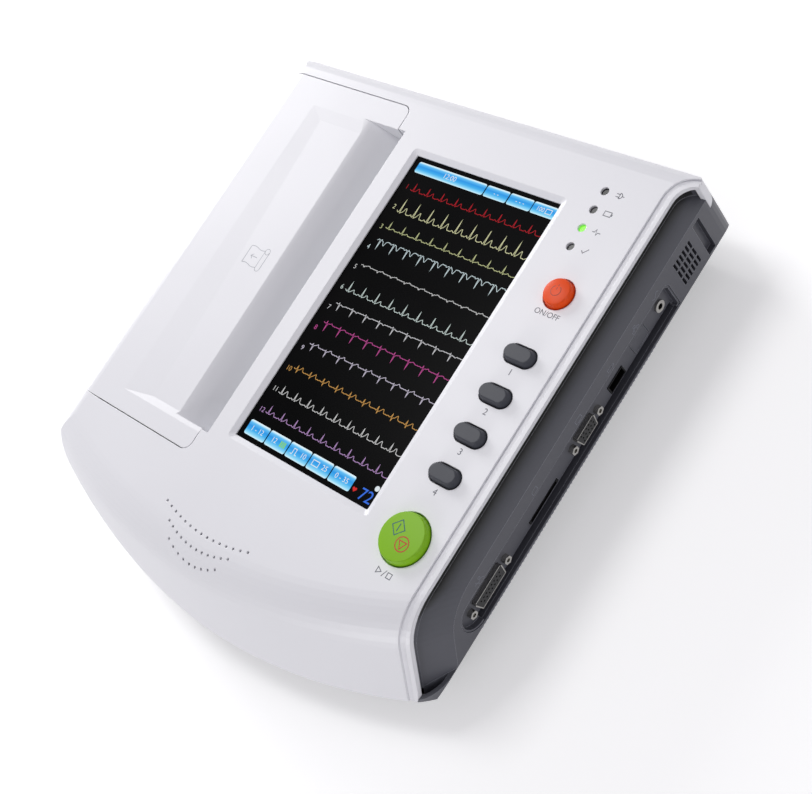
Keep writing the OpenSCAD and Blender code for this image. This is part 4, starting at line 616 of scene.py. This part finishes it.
def lit_bar(name, y0, y1):
    """Lit blue bar: white at both long edges, deepest blue over the middle."""
    made, tree, out = bare_material(name)
    height = add_node(tree, "ShaderNodeSeparateXYZ", {"Vector": object_spot(tree)}).outputs["Y"]
    part = add_node(tree, "ShaderNodeMapRange",
                    {"Value": height, "From Min": y0 * MM, "From Max": y1 * MM})
    ramp = add_node(tree, "ShaderNodeValToRGB", {"Fac": part.outputs[0]})
    stops = [(0.0, "#d6f4ff"), (0.14, "#8ed8f7"), (0.36, "#45b0ee"), (0.60, "#2f97e6"),
             (0.82, "#62bdf2"), (0.92, "#c6ecfc"), (1.0, "#f2fcff")]
    while len(ramp.color_ramp.elements) < len(stops):
        ramp.color_ramp.elements.new(0.5)
    for element, (place, colour) in zip(ramp.color_ramp.elements, stops):
        element.position, element.color = place, srgb(colour)
    glowing(tree, out, ramp.outputs[0], 1.0)
    return made


top_y = (picture_back - 10.2, picture_back - 2.8)
top_ends = [(4.0, 58.8), (59.6, 76.6), (77.4, 94.6), (95.2, 111.9)]
low_y = (picture_front + 3.2, picture_front + 12.6)
low_ends = [(3.8 + 18.1 * k, 21.1 + 18.1 * k) for k in range(5)]
for name, ends, (y0, y1) in (("status_bar", top_ends, top_y), ("menu_bar", low_ends, low_y)):
    printed(name, [field(picture_left + a, picture_left + b, y0, y1) for a, b in ends],
            lit_bar(f"lit_{name}", y0, y1), "base", picture_z)

# In the bars: a time, plain numbers, a battery, a square wave, a page and blocks
top_mid, low_mid = sum(top_y) / 2, sum(low_y) / 2
low_x = [picture_left + (a + b) / 2 for a, b in low_ends]
battery_x = picture_left + 107
wave_line = [(-6, -1.8), (-4.5, -1.8), (-4.5, 1.8), (-2.2, 1.8), (-2.2, -1.8), (-0.8, -1.8)]
lit_white = lit("lit_white", "#eef8ff")
top_words = (("12:00", 3.4, 31), ("- -", 3.2, 68), ("- - -", 3.2, 86), ("100", 2.8, 101))
low_words = ((0, "1 - 12", 0), (1, "12", -3), (2, "10", 4), (3, "25", 4), (4, "0 - 35", 0))
words = [lettered(text, height, picture_left + x, top_mid) for text, height, x in top_words]
words.append(box_line(battery_x - 2, top_mid - 1.4, battery_x + 2, top_mid + 1.4, 0.45))
words += [lettered(text, 3.3, low_x[k] + off, low_mid) for k, text, off in low_words]
words.append(stroke(np.array(wave_line) + (low_x[2], low_mid), 0.5))
words.append(box_line(low_x[3] - 6, low_mid - 1.6, low_x[3] - 1, low_mid + 1.6, 0.5))
printed("bar_figures", words, lit_white, "base", figures_z)
block_w, block_pitch, block_half_h = 1.2, 1.6, 1.8
block_x = low_x[1] + 2.2 + block_pitch * np.arange(3)
printed("bar_blocks", [filled([(x, low_mid - block_half_h), (x + block_w, low_mid - block_half_h),
                               (x + block_w, low_mid + block_half_h), (x, low_mid + block_half_h)])
                       for x in block_x], lit("lit_green", "#8fe08a"), "base", figures_z)

# Under the last traces: a heart, the pulse rate and a round lamp
rate_x, rate_y = picture_left + 105.6, picture_front + 5.7
printed("pulse_rate", [lettered("72", 7.4, rate_x, rate_y)], lit("lit_blue", "#3f78f2"), "base",
        picture_z)
turn = np.linspace(0, 2 * np.pi, 48, endpoint=False)[::-1]
heart_y = 13 * np.cos(turn) - 5 * np.cos(2 * turn) - 2 * np.cos(3 * turn) - np.cos(4 * turn)
heart = (np.stack([16 * np.sin(turn) ** 3, heart_y], 1) * 0.1
         + (picture_left + 96.4, rate_y + 0.6))
printed("pulse_heart", [filled(heart)], lit("lit_red", "#e03030"), "base", picture_z)
turn = np.linspace(0, 2 * np.pi, 24, endpoint=False)
lamp = (np.stack([np.cos(turn), np.sin(turn)], 1) * 1.6
        + (picture_left + 109.6, picture_front + 12.4))
printed("pulse_lamp", [filled(lamp)], lit_white, "base", picture_z)


# ---- Status lamps
# Clear grey light guides sit in the four round holes. The third one is lit
# green from a lamp on the key board.
lens_low, lens_high = (np.array(c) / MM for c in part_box("status_lenses"))
lens_d, lens_count = 6.6, 4
lens_pitch = (lens_high[1] - lens_low[1] - lens_d) / (lens_count - 1)
lens_ys = lens_low[1] + lens_d / 2 + lens_pitch * np.arange(lens_count)[::-1]
lit_lens = 2
lens_plastic, tree, out = bare_material("grey_light_guide")
spot = object_spot(tree)
height = add_node(tree, "ShaderNodeSeparateXYZ", {"Vector": spot}).outputs["Y"]
chosen = math_node(tree, "COMPARE", height, lens_ys[lit_lens] * MM, 4 * MM)
lens_tone = blend(tree, chosen, srgb("#1b1c1e"), srgb("#7fd21c"))
glow = blend(tree, chosen, (0, 0, 0, 1), srgb("#5fd010"))
dim = add_node(tree, "ShaderNodeMapRange",
               {"Value": noise(tree, spot, 1.2, 2.0), "To Min": 0.10, "To Max": 0.24})
skin = add_node(tree, "ShaderNodeBsdfPrincipled",
                {"Base Color": lens_tone, "Roughness": dim.outputs[0], "IOR": 1.49,
                 "Emission Color": glow, "Emission Strength": 0.8})
tree.links.new(skin.outputs[0], out.inputs["Surface"])
dress(lens_plastic, "status_lenses")


# ---- Keys and buttons
# Four dark grey oval keys, an orange power button and a large green start
# button, all moulded in ABS with a soft dull top. Their marks are pad printed.
grey_abs = moulded("moulded_slate_abs", "#33353e", 0.5, grain=0.8, depth=0.06, edge=0.7, spec=0.35)
orange_abs = moulded("moulded_orange_abs", "#f4500c", 0.36, grain=1.0, depth=0.02, edge=0.9,
                     spec=0.18)
green_abs = moulded("moulded_green_abs", "#88c11c", 0.36, grain=1.0, depth=0.02, edge=0.9,
                    spec=0.18)
key_names = ["key_1", "key_2", "key_3", "key_4"]
dress(grey_abs, *key_names)
dress(orange_abs, "power_button")
dress(green_abs, "start_button")


def ink(name, colour, rough=0.6):
    """Pad-printing ink: its coverage is a little uneven over a millimetre or two."""
    return moulded(name, colour, rough, grain=1.6, depth=0.004, edge=0.01, drift=0.05)


def crown(node, ball):
    """Middle x and y of a domed button, and a mark's height on it as a function of x and y."""
    low, high = (np.array(c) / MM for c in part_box(node))
    x, y = (low[:2] + high[:2]) / 2

    def lift(mark_x, mark_y):
        return high[2] - ((mark_x - x) ** 2 + (mark_y - y) ** 2) / (2 * ball) + ink_over

    return x, y, lift


power_x, power_y, power_lift = crown("power_button", 37.5)
start_x, start_y, start_lift = crown("start_button", 187.9)
printed("power_mark", [ring(power_x, power_y, 3.0, 0.5, 120, 300),
                       stroke([(power_x, power_y + 0.6), (power_x, power_y + 3.9)], 0.5)],
        ink("dark_orange_ink", "#b2360c"), "power", power_lift)
diamond_x, diamond_y = start_x - 4.2, start_y + 3.4
stop_x, stop_y = start_x + 3.2, start_y - 3.4
quarter = np.array([(1, 0), (0, 1), (-1, 0), (0, -1)])
third = np.radians((30, 150, 270))
printed("start_mark", [stroke(quarter * 4.6 + (diamond_x, diamond_y), 0.6, True),
                       stroke([(diamond_x, diamond_y - 2.3), (diamond_x, diamond_y + 2.3)], 0.6)],
        ink("teal_ink", "#0c5558"), "start", start_lift)
printed("stop_mark", [ring(stop_x, stop_y, 4.1, 0.6),
                      stroke(np.stack([np.cos(third), np.sin(third)], 1) * 2.9 + (stop_x, stop_y),
                             0.6, True)],
        ink("red_ink", "#bf2c0c"), "start", start_lift)


def round_point(x, y, *lines):
    """Strokes given round a point: each is its points, its width and whether it closes."""
    return [stroke(np.array(points) + (x, y), width, closed) for points, width, closed in lines]


# Marks beside the lamps and under the keys: a plug, a battery, a wave and a
# tick, then ON/OFF, the keys' numbers, and a triangle and a square
grey_ink = ink("grey_ink", "#64666f")
thin = 0.46
sign_x = (lens_low[0] + lens_high[0]) / 2 + 9
plug_y, battery_y, wave_y, tick_y = lens_ys
panel_z = face_under("upper_cover", (sign_x, plug_y, clear_of), (0, 0, -1))[0][2] + ink_over
marks = [ring(sign_x + 1, plug_y, 1.7, thin, -90, 180),
         lettered("ON/OFF", 3.4, power_x, power_y - 12.6)]
marks += round_point(sign_x, plug_y, ([(1, 1.7), (1, -1.7)], thin, False),
                     ([(1, 0.9), (-1.2, 0.9)], thin, False),
                     ([(1, -0.9), (-1.2, -0.9)], thin, False), ([(2.7, 0), (4.2, 0)], thin, False))
marks += round_point(sign_x, battery_y,
                     ([(-1.6, -1.4), (3, -1.4), (3, 1.4), (-1.6, 1.4)], thin, True),
                     ([(3.6, -0.7), (3.6, 0.7)], 0.6, False))
marks += round_point(sign_x, wave_y,
                     ([(-1.8, 0), (-0.4, 0), (0.3, 1.9), (1.2, -1.5), (1.8, 0), (3.6, 0)],
                      thin, False))
marks += round_point(sign_x, tick_y, ([(-1.2, 0), (0.2, -1.4), (2.9, 1.7)], thin, False))
for k, name in enumerate(key_names):
    low, high = (np.array(c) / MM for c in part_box(name))
    marks.append(lettered(str(k + 1), 3.9, (low[0] + high[0]) / 2, (low[1] + high[1]) / 2 - 10.2))
marks += round_point(start_x, start_y - 20.5, ([(-5.2, -1.7), (-5.2, 1.7), (-2.2, 0)], thin, True),
                     ([(-0.9, -2), (0.9, 2)], thin, False),
                     ([(2.2, -1.5), (5.2, -1.5), (5.2, 1.5), (2.2, 1.5)], thin, True))
printed("panel_marks", marks, grey_ink, "base", panel_z)

# On the door: a sheet of paper that leaves a roll, and an arrow on it
door_x, door_y = -93.0, 32.0
door_z = face_under("paper_door", (door_x, door_y, clear_of), (0, 0, -1))[0][2] + ink_over
wave = np.linspace(0, 1, 17)
edge_top = np.stack([13 * wave - 7.5, 6.0 + 0.6 * np.sin(wave * 2 * np.pi)], 1)
edge_low = edge_top - (0, 12.0)
marks = round_point(door_x, door_y, (edge_top, 0.35, False), (edge_low, 0.35, False),
                    ([edge_top[0], edge_low[0]], 0.45, False), ([(9.6, 6), (9.6, -6)], 0.45, False),
                    ([(5.6, 6), (5.6, -6)], 0.35, False), ([(2.4, 0), (-3.4, 0)], 0.4, False),
                    ([(-1.6, 1.6), (-3.4, 0), (-1.6, -1.6)], 0.4, False))
marks += [ring(door_x + 7.6, door_y + 6.0, 2.0, 0.35),
          ring(door_x + 7.6, door_y - 6.0, 2.0, 0.35, 180, 180)]
printed("door_mark", marks, ink("pale_grey_ink", "#a9abb3"), "door", door_z)


# ---- Socket marks
# Small raised signs over the sockets on the right side: a sine wave, three
# joined boxes, a stick, a screen, a card and a chest lead.
def side_marks(name, y, z, marks):
    """Marks round a middle point on the right side, turned into its plane."""
    spot, normal = face_under("lower_housing", (clear_of, y, z), (-1, 0, 0))
    across = np.array((0.0, 1.0, 0.0))
    away = np.array(normal) - np.dot(normal, across) * across
    up = np.cross(away / np.linalg.norm(away), across)
    printed(name, marks, side_ink, "base", ink_over, across, up, spot)


side_ink = ink("slate_ink", "#777a85", 0.5)
sign_z, fine_line = 53.0, 0.3
wave_x = np.linspace(-3, 3, 25)
network_sign = [box_line(x - 0.9, y - 0.7, x + 0.9, y + 0.7, fine_line)
                for x, y in ((0, 1.5), (-2, -1.2), (2, -1.2))]
network_sign += [stroke([(-2, -0.5), (-2, 0.1), (2, 0.1), (2, -0.5)], fine_line),
                 stroke([(0, 0.1), (0, 0.8)], fine_line)]
port_signs = {
    "signal_sign": ("signal_jack",
                    [stroke(np.stack([wave_x, 1.2 * np.sin(wave_x * np.pi / 3)], 1), 0.35)]),
    "network_sign": ("network_port", network_sign),
    "stick_sign": ("usb_port",
                   [box_line(-2.6, -1, 1, 1, fine_line), box_line(1, -0.6, 2.8, 0.6, fine_line)]),
    "video_sign": ("vga_connector", [box_line(-2.6, -1.2, 2.6, 1.6, fine_line),
                                     stroke([(-1.2, -1.9), (1.2, -1.9)], fine_line)]),
    "card_sign": ("card_slot",
                  [stroke([(-2.2, -1.5), (2.2, -1.5), (2.2, 1.5), (-1.2, 1.5), (-2.2, 0.6)],
                          fine_line, True)]),
    "chest_sign": ("ecg_connector",
                   [ring(0, 1.5, 0.8, fine_line), ring(0, -2.0, 2.2, fine_line, 0, 180),
                    stroke([(-5, 0.2), (-3.6, 0.2), (-3.1, 1.6), (-2.6, -0.8), (-2.2, 0.2)],
                           fine_line)])}
for name, (node, marks) in port_signs.items():
    low, high = (np.array(c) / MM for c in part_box(node))
    side_marks(name, (low[1] + high[1]) / 2, sign_z, marks)
